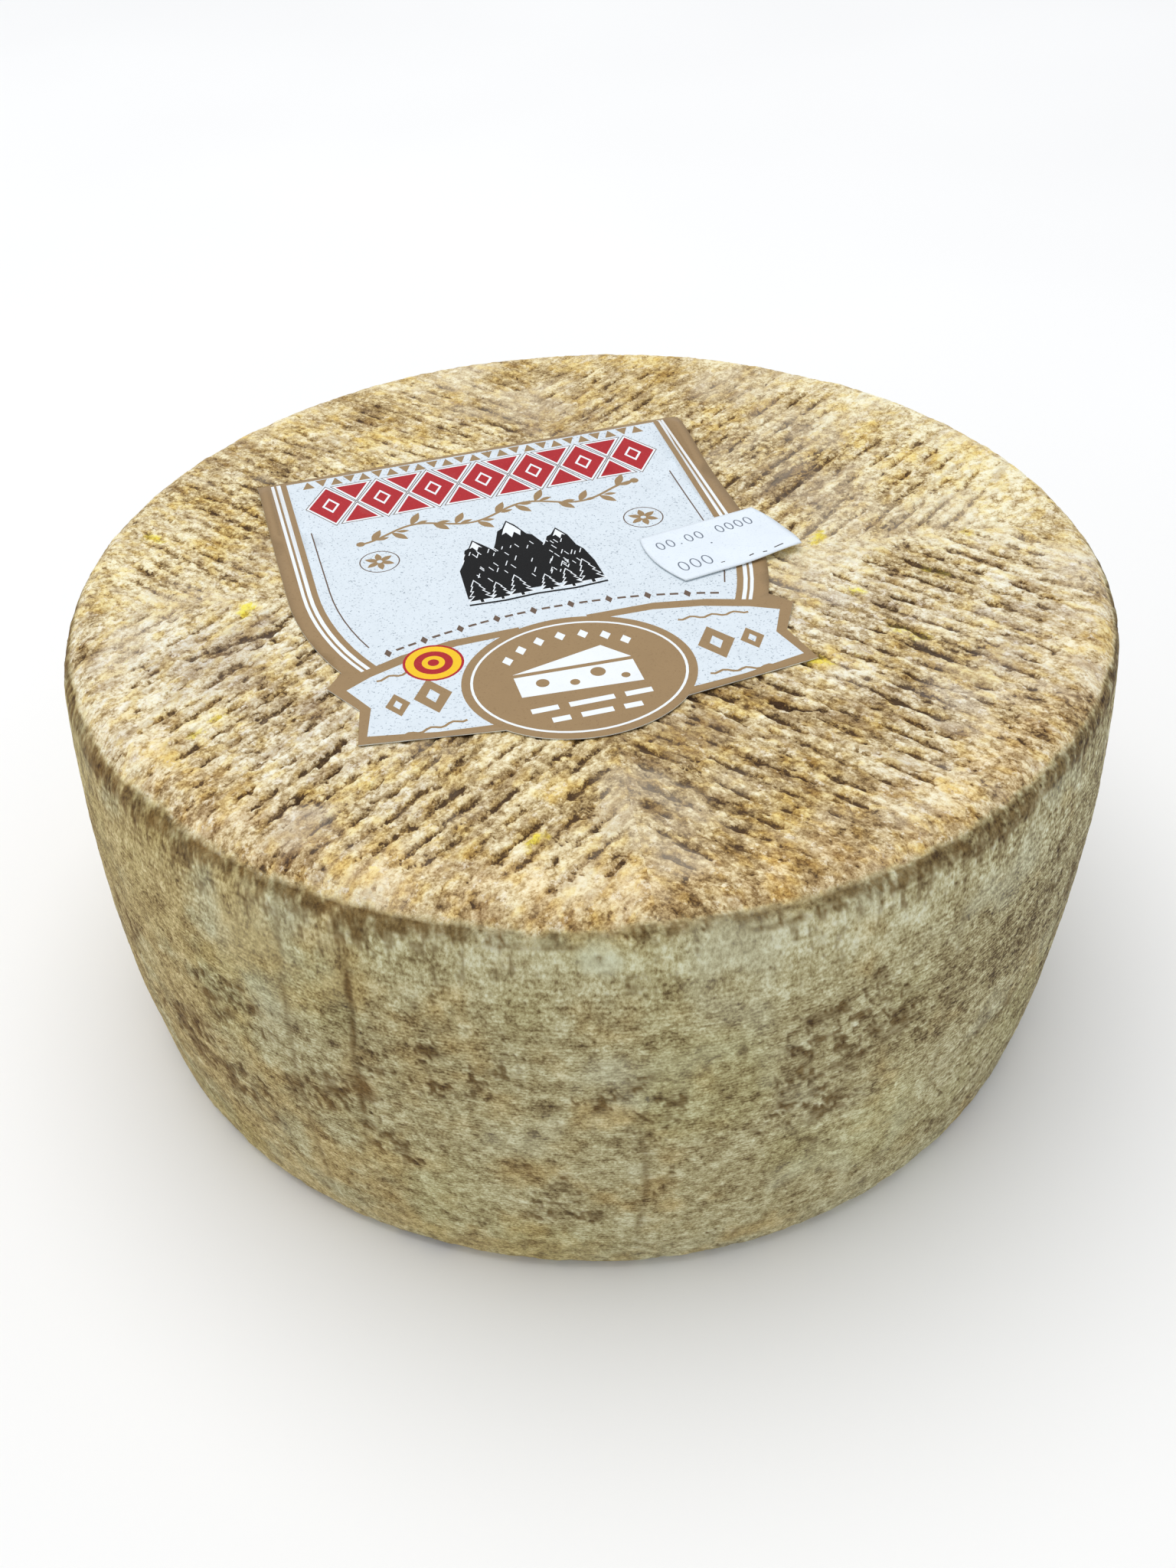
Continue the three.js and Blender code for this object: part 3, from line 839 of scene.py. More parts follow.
def make_wheel():
    """The wheel: rings from the middle of the upper face round to the middle of the underside."""
    rings, (angle, r, z, out, up, turn, under) = skin_points()
    cosine, sine = np.cos(np.radians(angle)), np.sin(np.radians(angle))
    x, y = r * cosine, r * sine
    face, side = Face(x, y), Side(x, y, z, angle)
    base_relief, base_tone = base_marks(x, y)

    ragged = layered(x, y, z, 3.4, 91, 4)
    edge = np.sin(np.radians(2 * np.clip(turn, 0, 90)))
    lumps, crumbled = UPPER_EDGE_RELIEF
    edge = edge * (lumps * layered(x, y, z, 9, 92) + crumbled * ragged)
    relief = blended(face.relief, side.relief, 0, smoothstep(turn, *BEND_TURNS), under)
    relief = relief + edge * (1 - under) + base_relief * under
    relief = relief + LOWER_EDGE_RELIEF * out * (up < 0) * layered(x, y, z, 5, 93)
    height = np.clip(z + relief * up, 0.0, HEIGHT + HIGHEST_CRUMB)
    points = np.stack([x + relief * out * cosine, y + relief * out * sine, height], 1)
    middles = [[0, 0, HEIGHT - MIDDLE_INSET[0]], [0, 0, MIDDLE_INSET[1]]]
    points = np.concatenate([points, middles])
    piece = new_object("wheel_rind", points, skin_faces(rings))

    border = RIM_RAGGED * (ragged + layered(x, y, z, 26, 94, 2))
    share = smoothstep(turn + border, *RIM_TURNS) * (1 - under)
    numbers = {"side": share, "grit": blended(face.grit, side.grit, 0, share, 0)}
    numbers["tone"] = blended(face.tone, side.tone, base_tone, share, under)
    numbers |= {name: values * (1 - share) * (1 - under) for name, values in face.colours.items()}
    numbers |= {name: values * share for name, values in side.colours.items()}
    for name, values in numbers.items():
        add_numbers(piece, name, padded(values))
    add_vectors(piece, "cloth_grain", [padded(column) for column in cloth_grain(x, y, z)])
    add_row_grain(piece, points)
    wheel_layout(piece, points, rings)
    return piece


def padded(values):
    """The values, with those of the two discs' middles."""
    return np.concatenate([values, [0.0, 0.0]])


def cloth_grain(x, y, z):
    """A coordinate in mm in which the cloth's threads lie level below and stand up near the top."""
    levels = np.linspace(0, HEIGHT, 200)
    pull = between(CLOTH_PULL, smoothstep(levels / HEIGHT, *CLOTH_TURN))
    return CLOTH_ROUND * x, CLOTH_ROUND * y, np.interp(z, levels, np.cumsum(pull) * levels[1])


def add_row_grain(piece, points):
    """A coordinate along and across the rows, in mm, that breaks cleanly where two fields meet."""
    vertex, owner, first = mesh_corners(piece.data)
    x, y, z = points[vertex].T
    middle = np.add.reduceat(points[vertex], first) / np.bincount(owner)[:, None]
    field = field_frame(middle[:, 0], middle[:, 1])[0][owner]
    along, across = field_turned(field, x, y)
    layer = (field + UNDERSIDE_FIELDS * (z < 0.3 * HEIGHT)) * FIELD_LAYER + z
    add_vectors(piece, "row_grain", (along * 0.85, across, layer), "CORNER")


def wheel_layout(piece, points, rings):
    """The wheel's UV map: the upper face large, the underside small, the side in two strips."""
    kind = np.zeros(len(points), int)  # 0 upper face, 1 side, 2 underside
    starts = np.cumsum([0] + [ring[0] for ring in rings])
    for k, (_, place, number) in enumerate(rings):
        if place is place_base or (place is place_base_edge and number > 60):
            kind[starts[k] : starts[k + 1]] = 2
        elif place is not place_face and not (place is place_top_edge and number < 60):
            kind[starts[k] : starts[k + 1]] = 1
    kind[-1] = 2
    loops, owner, first = mesh_corners(piece.data)
    highest, lowest = (f.reduceat(kind[loops], first) for f in (np.maximum, np.minimum))
    kind = np.where(lowest == 0, 0, highest)[owner]

    x, y, z = points[loops].T
    reach = 2 * (TOP_RADIUS + 5)
    u, v, width = (np.where(kind == 2, *pair) for pair in zip(BASE_MAP, FACE_MAP))
    disc_map = u + x / reach * width, v + y / reach * width
    middle = np.add.reduceat(points[loops][:, :2], first) / np.bincount(owner)[:, None]
    centre = (np.degrees(np.arctan2(middle[:, 1], middle[:, 0])) % 360)[owner]
    turn = np.degrees(np.arctan2(y, x)) % 360
    turn = turn + 360 * (turn < centre - 180) - 360 * (turn > centre + 180)
    strip = centre >= 180
    margin, step, width = STRIP_MAP
    around = margin + (turn - 180 * strip) / 180 * (1 - 2 * margin)
    strip_map = around, margin + step * strip + z / HEIGHT * width
    uv = np.where(kind == 1, strip_map, disc_map).T
    layer = piece.data.uv_layers.new(name="OFBake")
    layer.data.foreach_set("uv", uv.astype(np.float32).ravel())


# ---- flat print shapes ----

def arc(cx, cy, rx, ry, start, stop, step=6.0):
    """Points along part of an ellipse, in degrees."""
    count = max(2, round(abs(stop - start) / step))
    turns = np.radians(np.linspace(start, stop, count + 1))
    return [(cx + rx * math.cos(t), cy + ry * math.sin(t)) for t in turns]


def spread(count, pitch):
    """Places at a pitch about 0."""
    return [(i - (count - 1) / 2) * pitch for i in range(count)]


def disc(cx, cy, rx, ry=None, step=12.0):
    return arc(cx, cy, rx, rx if ry is None else ry, 0, 360, step)[:-1]


def turned(x, y, degrees):
    """A point or points turned about the origin."""
    c, s = math.cos(math.radians(degrees)), math.sin(math.radians(degrees))
    return x * c - y * s, x * s + y * c


def placed(loop, cx, cy, degrees):
    """A loop turned about the origin and then moved."""
    return [(cx + a, cy + b) for a, b in (turned(*point, degrees) for point in loop)]


def block(cx, cy, width, height, turn=0.0):
    """A rectangle about its middle."""
    corners = ((-1, -1), (1, -1), (1, 1), (-1, 1))
    half = [(i * width / 2, j * height / 2) for i, j in corners]
    return placed(half, cx, cy, turn)


def lozenge(cx, cy, width, height):
    return [(cx - width / 2, cy), (cx, cy - height / 2), (cx + width / 2, cy), (cx, cy + height / 2)]


def grown(loop, by):
    """A loop drawn anticlockwise, with every edge moved outward."""
    count = len(loop)
    lines = []
    for i in range(count):
        (x1, y1), (x2, y2) = loop[i], loop[(i + 1) % count]
        length = math.hypot(x2 - x1, y2 - y1)
        lines.append(((y2 - y1) / length, (x1 - x2) / length, x1, y1))
    result = []
    for i in range(count):
        (a1, b1, x1, y1), (a2, b2, x2, y2) = lines[i - 1], lines[i]
        c1, c2 = a1 * x1 + b1 * y1 + by, a2 * x2 + b2 * y2 + by
        cross = a1 * b2 - a2 * b1
        if abs(cross) < 1e-6:
            result.append((x2 + a2 * by, y2 + b2 * by))
        else:
            result.append(((c1 * b2 - c2 * b1) / cross, (a1 * c2 - a2 * c1) / cross))
    return result


def stroke(points, width):
    """The outline of a line of some width along the points."""
    left, right = [], []
    for i, (x, y) in enumerate(points):
        (x1, y1), (x2, y2) = points[max(i - 1, 0)], points[min(i + 1, len(points) - 1)]
        length = math.hypot(x2 - x1, y2 - y1)
        nx, ny = (y1 - y2) / length * width / 2, (x2 - x1) / length * width / 2
        left.append((x + nx, y + ny))
        right.append((x - nx, y - ny))
    return left + right[::-1]


def leaf(x, y, turn, length, width):
    """A pointed leaf that grows from a point."""
    upper = [(length * t, width / 2 * math.sin(math.pi * t)) for t in np.linspace(0, 1, 6)]
    lower = [(a, -b) for a, b in upper[1:-1]]
    return placed(upper + lower[::-1], x, y, turn)


def inside(px, py, loop):
    """Whether each point lies inside a loop."""
    result = np.zeros(len(px), bool)
    for i, (x1, y1) in enumerate(loop):
        x2, y2 = loop[(i + 1) % len(loop)]
        if y1 == y2:
            continue
        crosses = (y1 > py) != (y2 > py)
        result ^= crosses & (px < x1 + (x2 - x1) * (py - y1) / (y2 - y1))
    return result


def cut_sheet(outline, loops, step):
    """Flat points and triangles inside the outline, with an edge along every loop."""
    verts, edges = [], []
    for loop in [outline] + loops:
        first = len(verts)
        verts += loop
        edges += [(first + i, first + (i + 1) % len(loop)) for i in range(len(loop))]
    spans = (np.arange(min(values), max(values), step) for values in zip(*outline))
    grid = np.array(list(product(*spans)))
    verts += list(grid[inside(*grid.T, grown(outline, -step / 3))])
    flat, _, triangles, *_ = delaunay_2d_cdt([Vector(v) for v in verts], edges, [], 1, 1e-4, False)
    flat, triangles = np.array([tuple(v) for v in flat]), np.array(triangles)
    triangles = triangles[inside(*flat[triangles].mean(1).T, outline)]
    used, renumbered = np.unique(triangles, return_inverse=True)
    return flat[used], renumbered.reshape(-1, 3)


def inked(middles, prints, inks):
    """The number of the ink of the last print over each point."""
    ink = np.zeros(len(middles), int)
    for which, loop in prints:
        low, high = np.min(loop, 0), np.max(loop, 0)
        some = np.flatnonzero(((middles > low) & (middles < high)).all(1))
        ink[some[inside(*middles[some].T, loop)]] = inks.index(which)
    return ink


def make_sheet(name, outline, prints, inks, lift, centre, turn, under, thick, step):
    """A printed sheet: one closed thin mesh whose faces take the ink of the last shape over them.

    prints is a list of (ink, loop), lift gives the height of the underside above under.
    """
    flat, triangles = cut_sheet(outline, [loop for _, loop in prints], step)
    ink = inked(flat[triangles].mean(1), prints, inks)
    a, b = flat.T
    across, onward = turned(a, b, turn)
    place = np.stack([centre[0] + across, centre[1] + onward, under + lift(a, b)], 1)
    points, count = np.concatenate([place + [0, 0, thick], place]), len(flat)
    sides = np.concatenate([triangles[:, [0, 1]], triangles[:, [1, 2]], triangles[:, [2, 0]]])
    back = {(int(j), int(i)) for i, j in sides}
    rim = np.array([(i, j) for i, j in sides.tolist() if (i, j) not in back])
    walls = np.stack([rim[:, 1], rim[:, 0], rim[:, 0] + count, rim[:, 1] + count], 1)
    piece = new_object(name, points, [triangles, triangles[:, ::-1] + count, walls], smooth=False)
    for which in inks + ["paper_back"]:
        piece.data.materials.append(bpy.data.materials[which])
    slots = np.concatenate([ink, np.full(len(triangles) + len(walls), len(inks))])
    piece.data.polygons.foreach_set("material_index", slots.astype(np.int32))
    flags = np.arange(len(slots)) < 2 * len(triangles)
    piece.data.polygons.foreach_set("use_smooth", flags)
    return piece


# ---- the label's drawing ----

def shield(inset, top):
    """The label's shield shape, drawn in from its edge, up to a height along the label."""
    half, drop = LABEL_HALF_WIDTH - inset, SHIELD_DROP - inset
    return [(half, top)] + [(-half, top)] + arc(0, SHOULDER, half, drop, 180, 360, 4)


def label_outline():
    """The label's outline, anticlockwise from its far left corner."""
    meets = math.degrees(math.asin((RIBBON_MEETS - SHOULDER) / SHIELD_DROP))
    plaque_from = math.degrees(math.acos(RIBBON_FOOT / PLAQUE_HALF[0]))
    across = np.linspace(LABEL_HALF_WIDTH, -LABEL_HALF_WIDTH, 30)
    loop = [(a, LABEL_TOP) for a in across]
    loop += [(-LABEL_HALF_WIDTH, b) for b in np.arange(LABEL_TOP - 4, SHOULDER, -4)]
    loop += arc(0, SHOULDER, LABEL_HALF_WIDTH, SHIELD_DROP, 180, 180 - meets, 4)
    loop += [(-a, b) for a, b in (RIBBON_TIP, RIBBON_NOTCH, RIBBON_TAIL)]
    loop += arc(0, PLAQUE_CENTRE, *PLAQUE_HALF, 180 + plaque_from, 360 - plaque_from, 5)
    loop += [RIBBON_TAIL, RIBBON_NOTCH, RIBBON_TIP]
    loop += arc(0, SHOULDER, LABEL_HALF_WIDTH, SHIELD_DROP, 360 + meets, 360, 4)
    loop += [(LABEL_HALF_WIDTH, b) for b in np.arange(SHOULDER + 4, LABEL_TOP - 1, 4)]
    return loop


def border_prints():
    """Brown border with white lines, then the pale field with its thin inner line."""
    inset = 0.0
    lines = (("ink_white", 3.5), ("ink_brown", 0.8), ("ink_white", 0.6), ("ink_brown", 0.95))
    for ink, width in lines:
        inset += width
        yield ink, shield(inset, CURL_CREST + 5.4 - inset * 0.5)
    inset += 1.5
    yield "ink_brown", shield(inset - 1.5, CURL_CREST + 0.6)
    yield "field", shield(inset, CURL_CREST + 0.3)
    for side in (-1, 1):
        inner = [(side * 47, 36), (side * 47, 24), (side * 47, 12)]
        inner += [(side * a, b) for a, b in arc(0, SHOULDER, 47, 60, 0, -26, 4)]
        yield "ink_dark", stroke(inner, 0.35)


def frieze_prints():
    """The title's place: a frieze of red lozenges and darts, edged in white and a dark line."""
    low, high = 38.4, 53.2
    middle, pitch, dart = (low + high) / 2, 13.4, 4.2
    centres = spread(7, pitch)
    shapes = [lozenge(cx, middle, 11.4, high - low) for cx in centres]
    for gap in spread(6, pitch):
        shapes.append([(gap - dart, low), (gap + dart, low), (gap, middle - 1.4)])
        shapes.append([(gap + dart, high), (gap - dart, high), (gap, middle + 1.4)])
    for ink, by in (("ink_dark", 0.72), ("ink_white", 0.5), ("ink_red", 0.0)):
        yield from ((ink, grown(shape, by)) for shape in shapes)
    for cx in centres:
        yield "ink_white", lozenge(cx, middle, 4.6, 6.2)
        yield "ink_red", lozenge(cx, middle, 3.2, 4.3)


def caption_prints():
    """The captions' places: a row of small triangles at the top, dashes along an arch below."""
    low, high = 54.6, 58.0
    for i, a in enumerate(spread(25, 3.7)):
        foot, tip = (high, low) if i % 2 else (low, high)
        yield "ink_brown", [(a - 1.6, foot), (a + 1.6, foot), (a, tip)]
    for i, share in enumerate(np.linspace(-1, 1, 27)):
        a, b = 38.5 * share, -15.4 - 6.4 * share * share
        yield "ink_dark", block(a, b, 2.0, 0.8, -18 * share) if i % 3 else lozenge(a, b, 1.8, 3.2)


def vine_prints():
    """The script's place: a brown vine with leaves."""
    def stem(a):
        return 30.6 + 2.3 * math.sin(a / 4.6) + 0.04 * a

    yield "ink_brown", stroke([(a, stem(a)) for a in np.linspace(-35, 36, 60)], 0.8)
    for i in range(13):
        a = -33 + 5.4 * i
        turns = (-52, -8) if i % 2 else (58, 12)
        yield "ink_brown", leaf(a, stem(a), turns[0], 5.6, 2.1)
        yield "ink_brown", leaf(a + 1.2, stem(a), turns[1], 3.4, 1.3)
    yield "ink_brown", disc(37.0, stem(36), 1.1)
    yield "ink_brown", disc(-36.0, stem(-35), 1.1)


def daisy_prints():
    """Two six-petalled flowers in thin rings."""
    for cx, cy in ((-33.0, 17.4), (33.6, 16.2)):
        yield "ink_dark", disc(cx, cy, 5.0)
        yield "field", disc(cx, cy, 4.7)
        for i in range(6):
            yield "ink_brown", leaf(cx, cy, 30 + 60 * i, 3.9, 1.7)
        yield "field", disc(cx, cy, 0.7, step=30)


def fir(cx, foot, tall, wide):
    """A fir tree's outline."""
    tiers = 4
    right = [(0.07 * wide, foot), (0.07 * wide, foot + 0.12 * tall)]
    for i in range(tiers):
        b = foot + tall * (0.12 + 0.22 * i)
        reach = wide / 2 * (1 - 0.22 * i)
        right += [(reach, b), (reach * 0.42, b + 0.2 * tall)]
    right[-1] = (0.0, foot + tall)
    left = [(-a, b) for a, b in reversed(right[:-1])]
    return [(cx + a, b) for a, b in right + left]


def mountain_prints():
    """The middle motif: three black peaks with snow, scratched highlights and firs in front."""
    ridge = [(16.8, -6.0), (16.6, 1.0), (15.6, 7.0), (14.4, 9.4), (13.6, 14.6), (11.6, 18.8)]
    ridge += [(9.8, 16.0), (8.6, 15.4), (7.2, 12.2), (5.4, 17.6), (4.2, 18.4), (2.4, 23.4)]
    ridge += [(0.8, 26.0), (-1.0, 22.6), (-2.4, 21.6), (-4.2, 16.4), (-5.4, 13.6), (-7.4, 16.8)]
    ridge += [(-9.4, 19.6), (-11.0, 16.2), (-12.2, 15.4), (-13.8, 9.6), (-15.4, 6.6), (-16.2, -6.0)]
    yield "ink_black", ridge
    snow = [(0.8, 25.2), (-0.7, 22.2), (-1.7, 19.6), (-0.5, 20.4), (0.4, 17.8), (1.5, 20.2)]
    snow += [(2.6, 18.1), (3.2, 20.2), (2.1, 22.8)]
    yield "ink_white", snow[::-1]
    for cx, cy in ((-9.3, 18.9), (11.5, 18.0)):
        cap = [(0.0, 0.0), (-1.5, -3.0), (-0.7, -2.6), (0.0, -4.6), (0.8, -2.8), (1.6, -3.4)]
        yield "ink_white", [(cx + a, cy + b) for a, b in cap]
    for i in range(60):
        a = -14.0 + 29.0 * chance(1, i, 2)
        b = -1.0 + 15.0 * chance(2, i, 5)
        slope = 66 if chance(4, i, 3) < 0.5 else 112
        yield "ink_white", block(a, b, 1.2 + chance(3, i, 1), 0.24, slope)
    trees = [(-13.2, -8.2, 9.5, 5.6), (13.8, -8.2, 10.4, 6.0), (-8.3, -8.4, 7.2, 4.8)]
    trees += [(8.9, -8.4, 7.8, 5.0), (-3.4, -8.3, 8.8, 5.4), (3.6, -8.2, 6.8, 4.6)]
    for tree in (fir(*sizes) for sizes in trees):
        yield "ink_white", grown(tree, 0.25)
        yield "ink_black", tree
    ground = [(-16.5, -8.6), (-8, -9.2), (0, -8.7), (9, -9.2), (17, -8.6)]
    yield "ink_black", stroke(ground, 0.7)


def ribbon_prints():
    """The forked ribbon with pale faces, and the brown plaque over its middle."""
    for side in (-1, 1):
        brown = [RIBBON_TAIL, RIBBON_NOTCH, RIBBON_TIP, (46, -27.2), (36, -23.6), (24, -21.2)]
        brown += [(8, -21.0), (8, -59.4), (RIBBON_FOOT, -57.6)]
        face = [(48.6, -50.6), (46.0, -41.0), (50.0, -32.9), (44, -29.6), (34, -26.0), (23, -23.8)]
        face += [(8, -23.4), (8, -56.8), (21, -54.9), (34, -53.6)]
        line = [(33.5, -28.6), (40.5, -31.0), (43.0, -36.5)]
        mirrored = [[(side * a, b) for a, b in loop] for loop in (brown, face, line)]
        if side < 0:
            mirrored[:2] = [loop[::-1] for loop in mirrored[:2]]
        yield "ink_brown", [(a * 0.999, b) for a, b in mirrored[0]]
        yield "field", mirrored[1]
        for a, b, size in ((32.2, -40.6, 8.6), (40.2, -41.6, 5.6)):
            yield "ink_brown", lozenge(side * a, b, size, size * 1.5)
            yield "field", lozenge(side * a, b, size * 0.36, size * 0.6)
        for b in (-29.5, -51.2):
            wave = [(side * a, b - 0.12 * (a - 28) + 0.5 * math.sin(a * 1.3)) for a in range(27, 44)]
            yield "ink_brown", stroke(wave, 0.7)
    yield "ink_brown", disc(0, PLAQUE_CENTRE, PLAQUE_HALF[0] - 0.02, PLAQUE_HALF[1] - 0.02, 5)
    yield "ink_white", disc(0, PLAQUE_CENTRE, 24.0, 20.5, 6)
    yield "ink_brown", disc(0, PLAQUE_CENTRE, 23.4, 19.9, 6)


def plaque_prints():
    """White shapes on the plaque: a wedge with holes, small lozenges above, bars below."""
    for i in range(7):
        t = math.radians(90 + 17 * (i - 3))
        cx, cy = 17.5 * math.cos(t), PLAQUE_CENTRE + 15.6 * math.sin(t)
        yield "ink_white", lozenge(cx, cy, 2.6, 3.6)
    rind = [(-14.0, -38.8), (12.8, -39.8), (7.6, -33.6)]
    cut = [(-14.0, -40.0), (-14.0, -47.4), (12.8, -49.2), (12.8, -41.0)]
    yield from (("ink_white", rind), ("ink_white", cut))
    for a, b, size in ((-8.4, -43.6, 1.5), (-1.6, -45.4, 1.1), (4.2, -43.2, 1.7), (9.6, -46.2, 1.0)):
        yield "ink_brown", disc(a, b, size, step=20)
    for b, widths in ((-53.0, (6, 10, 6)), (-57.2, (4, 7, 4))):
        left = -(sum(widths) + 2.4 * (len(widths) - 1)) / 2
        for width in widths:
            yield "ink_white", block(left + width / 2, b, width, 1.7)
            left += width + 2.4


def roundel_prints():
    """A plain roundel of yellow and red rings."""
    cx, cy = -29.5, -28.5
    rings = (("ink_red", 6.9), ("ink_yellow", 6.3), ("ink_red", 4.4), ("ink_yellow", 2.6))
    yield from ((ink, disc(cx, cy, size)) for ink, size in rings)
    yield "ink_red", disc(cx, cy, 1.3, step=24)


def label_lift(a, b):
    """The far end of the label rises off the rind to a crest and bends down behind it."""
    rise = CURL_LIFT * smoothstep(b, CURL_START, CURL_CREST)
    fall = (CURL_LIFT - CURL_EDGE_LIFT) * smoothstep(b, CURL_CREST, LABEL_TOP)
    ripple = 0.10 * noise(a, b, a * 0, 17, 101) + 0.04 * noise(a, b, a * 0, 7, 102)
    return rise - fall + ripple - 0.08


def make_label():
    drawings = (border_prints, frieze_prints, caption_prints, vine_prints, daisy_prints,
                mountain_prints, ribbon_prints, plaque_prints, roundel_prints)
    prints = [mark for drawing in drawings for mark in drawing()]
    inks = ["ink_brown", "field", "ink_white", "ink_dark", "ink_red", "ink_black", "ink_yellow"]
    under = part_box("paper_label")[0][2] / MM
    return make_sheet("label_sheet", label_outline(), prints, inks, label_lift, LABEL_CENTRE,
                      LABEL_TURN, under, LABEL_THICKNESS, LABEL_GRID)


# ---- the sticker's drawing ----

def curve(start, control, end, count):
    """Points along a quadratic curve, without its last."""
    points = []
    for t in np.arange(count) / count:
        weights = ((1 - t) ** 2, 2 * t * (1 - t), t * t)
        points.append(tuple(sum(w * p[k] for w, p in zip(weights, (start, control, end))) for k in (0, 1)))
    return points


def sticker_outline():
    half, low = STICKER_HALF
    bulge, foot = half + 2 * STICKER_END_BULGE, half + STICKER_END_BULGE / 2
    loop = curve((-half, low), (-bulge, 0), (-half + STICKER_END_BULGE / 2, -low), 10)
    loop += curve((-half + STICKER_END_BULGE / 2, -low), (0, -low), (foot, -low), 10)
    loop += curve((foot, -low), (bulge, 0), (half, low), 10)
    loop += curve((half, low), (0, low), (-half, low), 10)
    return loop


def digit_prints():
    """Unset stamp figures: two short groups and a long one above, one group below."""
    row, line = 5.6, 0.36

    def zero(cx, cy, tall):
        across, up = 0.28 * tall, tall / 2
        yield "stamp", disc(cx, cy, across, up, 15)
        yield "sticker_face", disc(cx, cy, across - line, up - line, 15)

    for cx in (-12.6, -9.9, -4.9, -2.2, 3.6, 6.2, 8.8, 11.4):
        yield from zero(cx, row + 0.02 * cx, 3.5)
    yield "stamp", disc(-7.6, row - 1.6, 0.25, step=45)
    for cx in (-12.0, -8.9, -5.8):
        yield from zero(cx, -5.2, 4.2)
    yield "stamp", disc(-1.2, 0.9, 0.28, step=45)
    for cx, cy, wide, turn in ((4.2, -8.6, 1.3, 8), (7.4, -9.3, 1.0, -20), (11.3, -8.9, 2.6, 6)):
        yield "stamp_dark", block(cx, cy, wide, 0.4, turn)
    yield "stamp_dark", block(-3.1, -8.0, 1.0, 0.3, -6)


def sticker_lift(a, b):
    half, low = STICKER_HALF
    corner = smoothstep(a, 0, half) * smoothstep(-b, 0, low)
    return STICKER_CORNER_LIFT * corner + 0.05 * noise(a, b, a * 0, 6, 111)


def make_sticker():
    inks = ["sticker_face", "stamp", "stamp_dark"]
    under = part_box("date_sticker")[0][2] / MM
    return make_sheet("stamped_sticker", sticker_outline(), list(digit_prints()), inks,
                      sticker_lift, STICKER_CENTRE, STICKER_TURN, under, STICKER_THICKNESS,
                      STICKER_GRID)


# ---- materials ----

def srgb(red, green, blue):
    """A linear colour from display numbers of 0 to 255."""
    def channel(value):
        share = value / 255
        return share / 12.92 if share <= 0.04045 else ((share + 0.055) / 1.055) ** 2.4
    return (channel(red), channel(green), channel(blue), 1.0)


def grey(share):
    return (share, share, share, 1.0)


class Nodes:
    """Short ways to add nodes to a new material. An input is a number, a colour or a socket."""

    def __init__(self, name):
        self.material = bpy.data.materials.new(name)
        self.material.use_nodes = True
        self.tree = self.material.node_tree
        self.shader = self.tree.nodes["Principled BSDF"]

    def feed(self, socket, value):
        if isinstance(value, bpy.types.NodeSocket):
            self.tree.links.new(value, socket)
        else:
            socket.default_value = value

    def surface(self, **inputs):
        """Feeds the shader's own sockets, with _ for a space in their names."""
        for name, value in inputs.items():
            self.feed(self.shader.inputs[name.replace("_", " ")], value)

    def add(self, kind, inputs=(), **settings):
        node = self.tree.nodes.new("ShaderNode" + kind)
        for key, value in settings.items():
            setattr(node, key, value)
        for key, value in dict(inputs).items():
            self.feed(node.inputs[key], value)
        return node

    def times(self, one, two):
        return self.add("Math", {0: one, 1: two}, operation="MULTIPLY").outputs[0]

    def total(self, *terms):
        """The sum of value * weight over the terms (value, weight), plus any lone numbers."""
        result = None
        for term in terms:
            value = self.times(*term) if isinstance(term, tuple) else term
            if result is not None:
                value = self.add("Math", {0: result, 1: value}, operation="ADD").outputs[0]
            result = value
        return result

    def mix(self, share, one, two, blend="MIX"):
        node = self.add("Mix", data_type="RGBA", blend_type=blend)
        for index, value in ((0, share), (6, one), (7, two)):
            self.feed(node.inputs[index], value)
        return node.outputs[2]

    def tint(self, share, one, two):
        return self.mix(share, one, two, "MULTIPLY")

    def step(self, value, low, high):
        inputs = {0: value, 1: low, 2: high}
        return self.add("MapRange", inputs, interpolation_type="SMOOTHSTEP").outputs[0]

    def attribute(self, name, output="Fac"):
        return self.add("Attribute", attribute_name=name).outputs[output]

    def vector(self, operation, one, two):
        """A sum or a product of two vectors, or a vector scaled by a number."""
        second = 3 if operation == "SCALE" else 1
        return self.add("VectorMath", {0: one, second: two}, operation=operation).outputs[0]

    def moved(self, where, scale, shift):
        return self.vector("ADD", self.vector("MULTIPLY", where, scale), shift)

    def frayed(self, where, per_unit, by):
        """The coordinate pushed about by noise, so that what is drawn in it has ragged edges."""
        inputs = {"Vector": where, "Scale": per_unit, "Detail": 2.0}
        push = self.vector("SUBTRACT", self.add("TexNoise", inputs).outputs["Color"], (0.5, 0.5, 0.5))
        return self.vector("ADD", where, self.vector("SCALE", push, by))

    def noise(self, where, per_unit, detail=2.0, roughness=0.55):
        """Noise of 0 to 1 with per_unit lumps in each unit of the coordinate."""
        inputs = {"Vector": where, "Scale": per_unit, "Detail": detail, "Roughness": roughness}
        return self.add("TexNoise", inputs).outputs["Fac"]

    def grains(self, where, per_unit):
        """Two draws of 0 to 1 that each grain keeps, and the distance from its middle."""
        inputs = {"Vector": where, "Scale": per_unit, "Randomness": 1.0}
        node = self.add("TexVoronoi", inputs, feature="F1")
        draws = self.add("SeparateColor", {"Color": node.outputs["Color"]}).outputs
        return draws["Red"], draws["Green"], node.outputs["Distance"]

    def ramp(self, share, stops):
        node = self.add("ValToRGB", {"Fac": share})
        while len(node.color_ramp.elements) < len(stops):
            node.color_ramp.elements.new(0.5)
        for element, (position, colour) in zip(node.color_ramp.elements, stops):
            element.position = position
            element.color = colour
        return node.outputs["Color"]

    def bump(self, height, distance, strength):
        inputs = {"Height": height, "Distance": distance, "Strength": strength}
        self.surface(Normal=self.add("Bump", inputs).outputs[0])
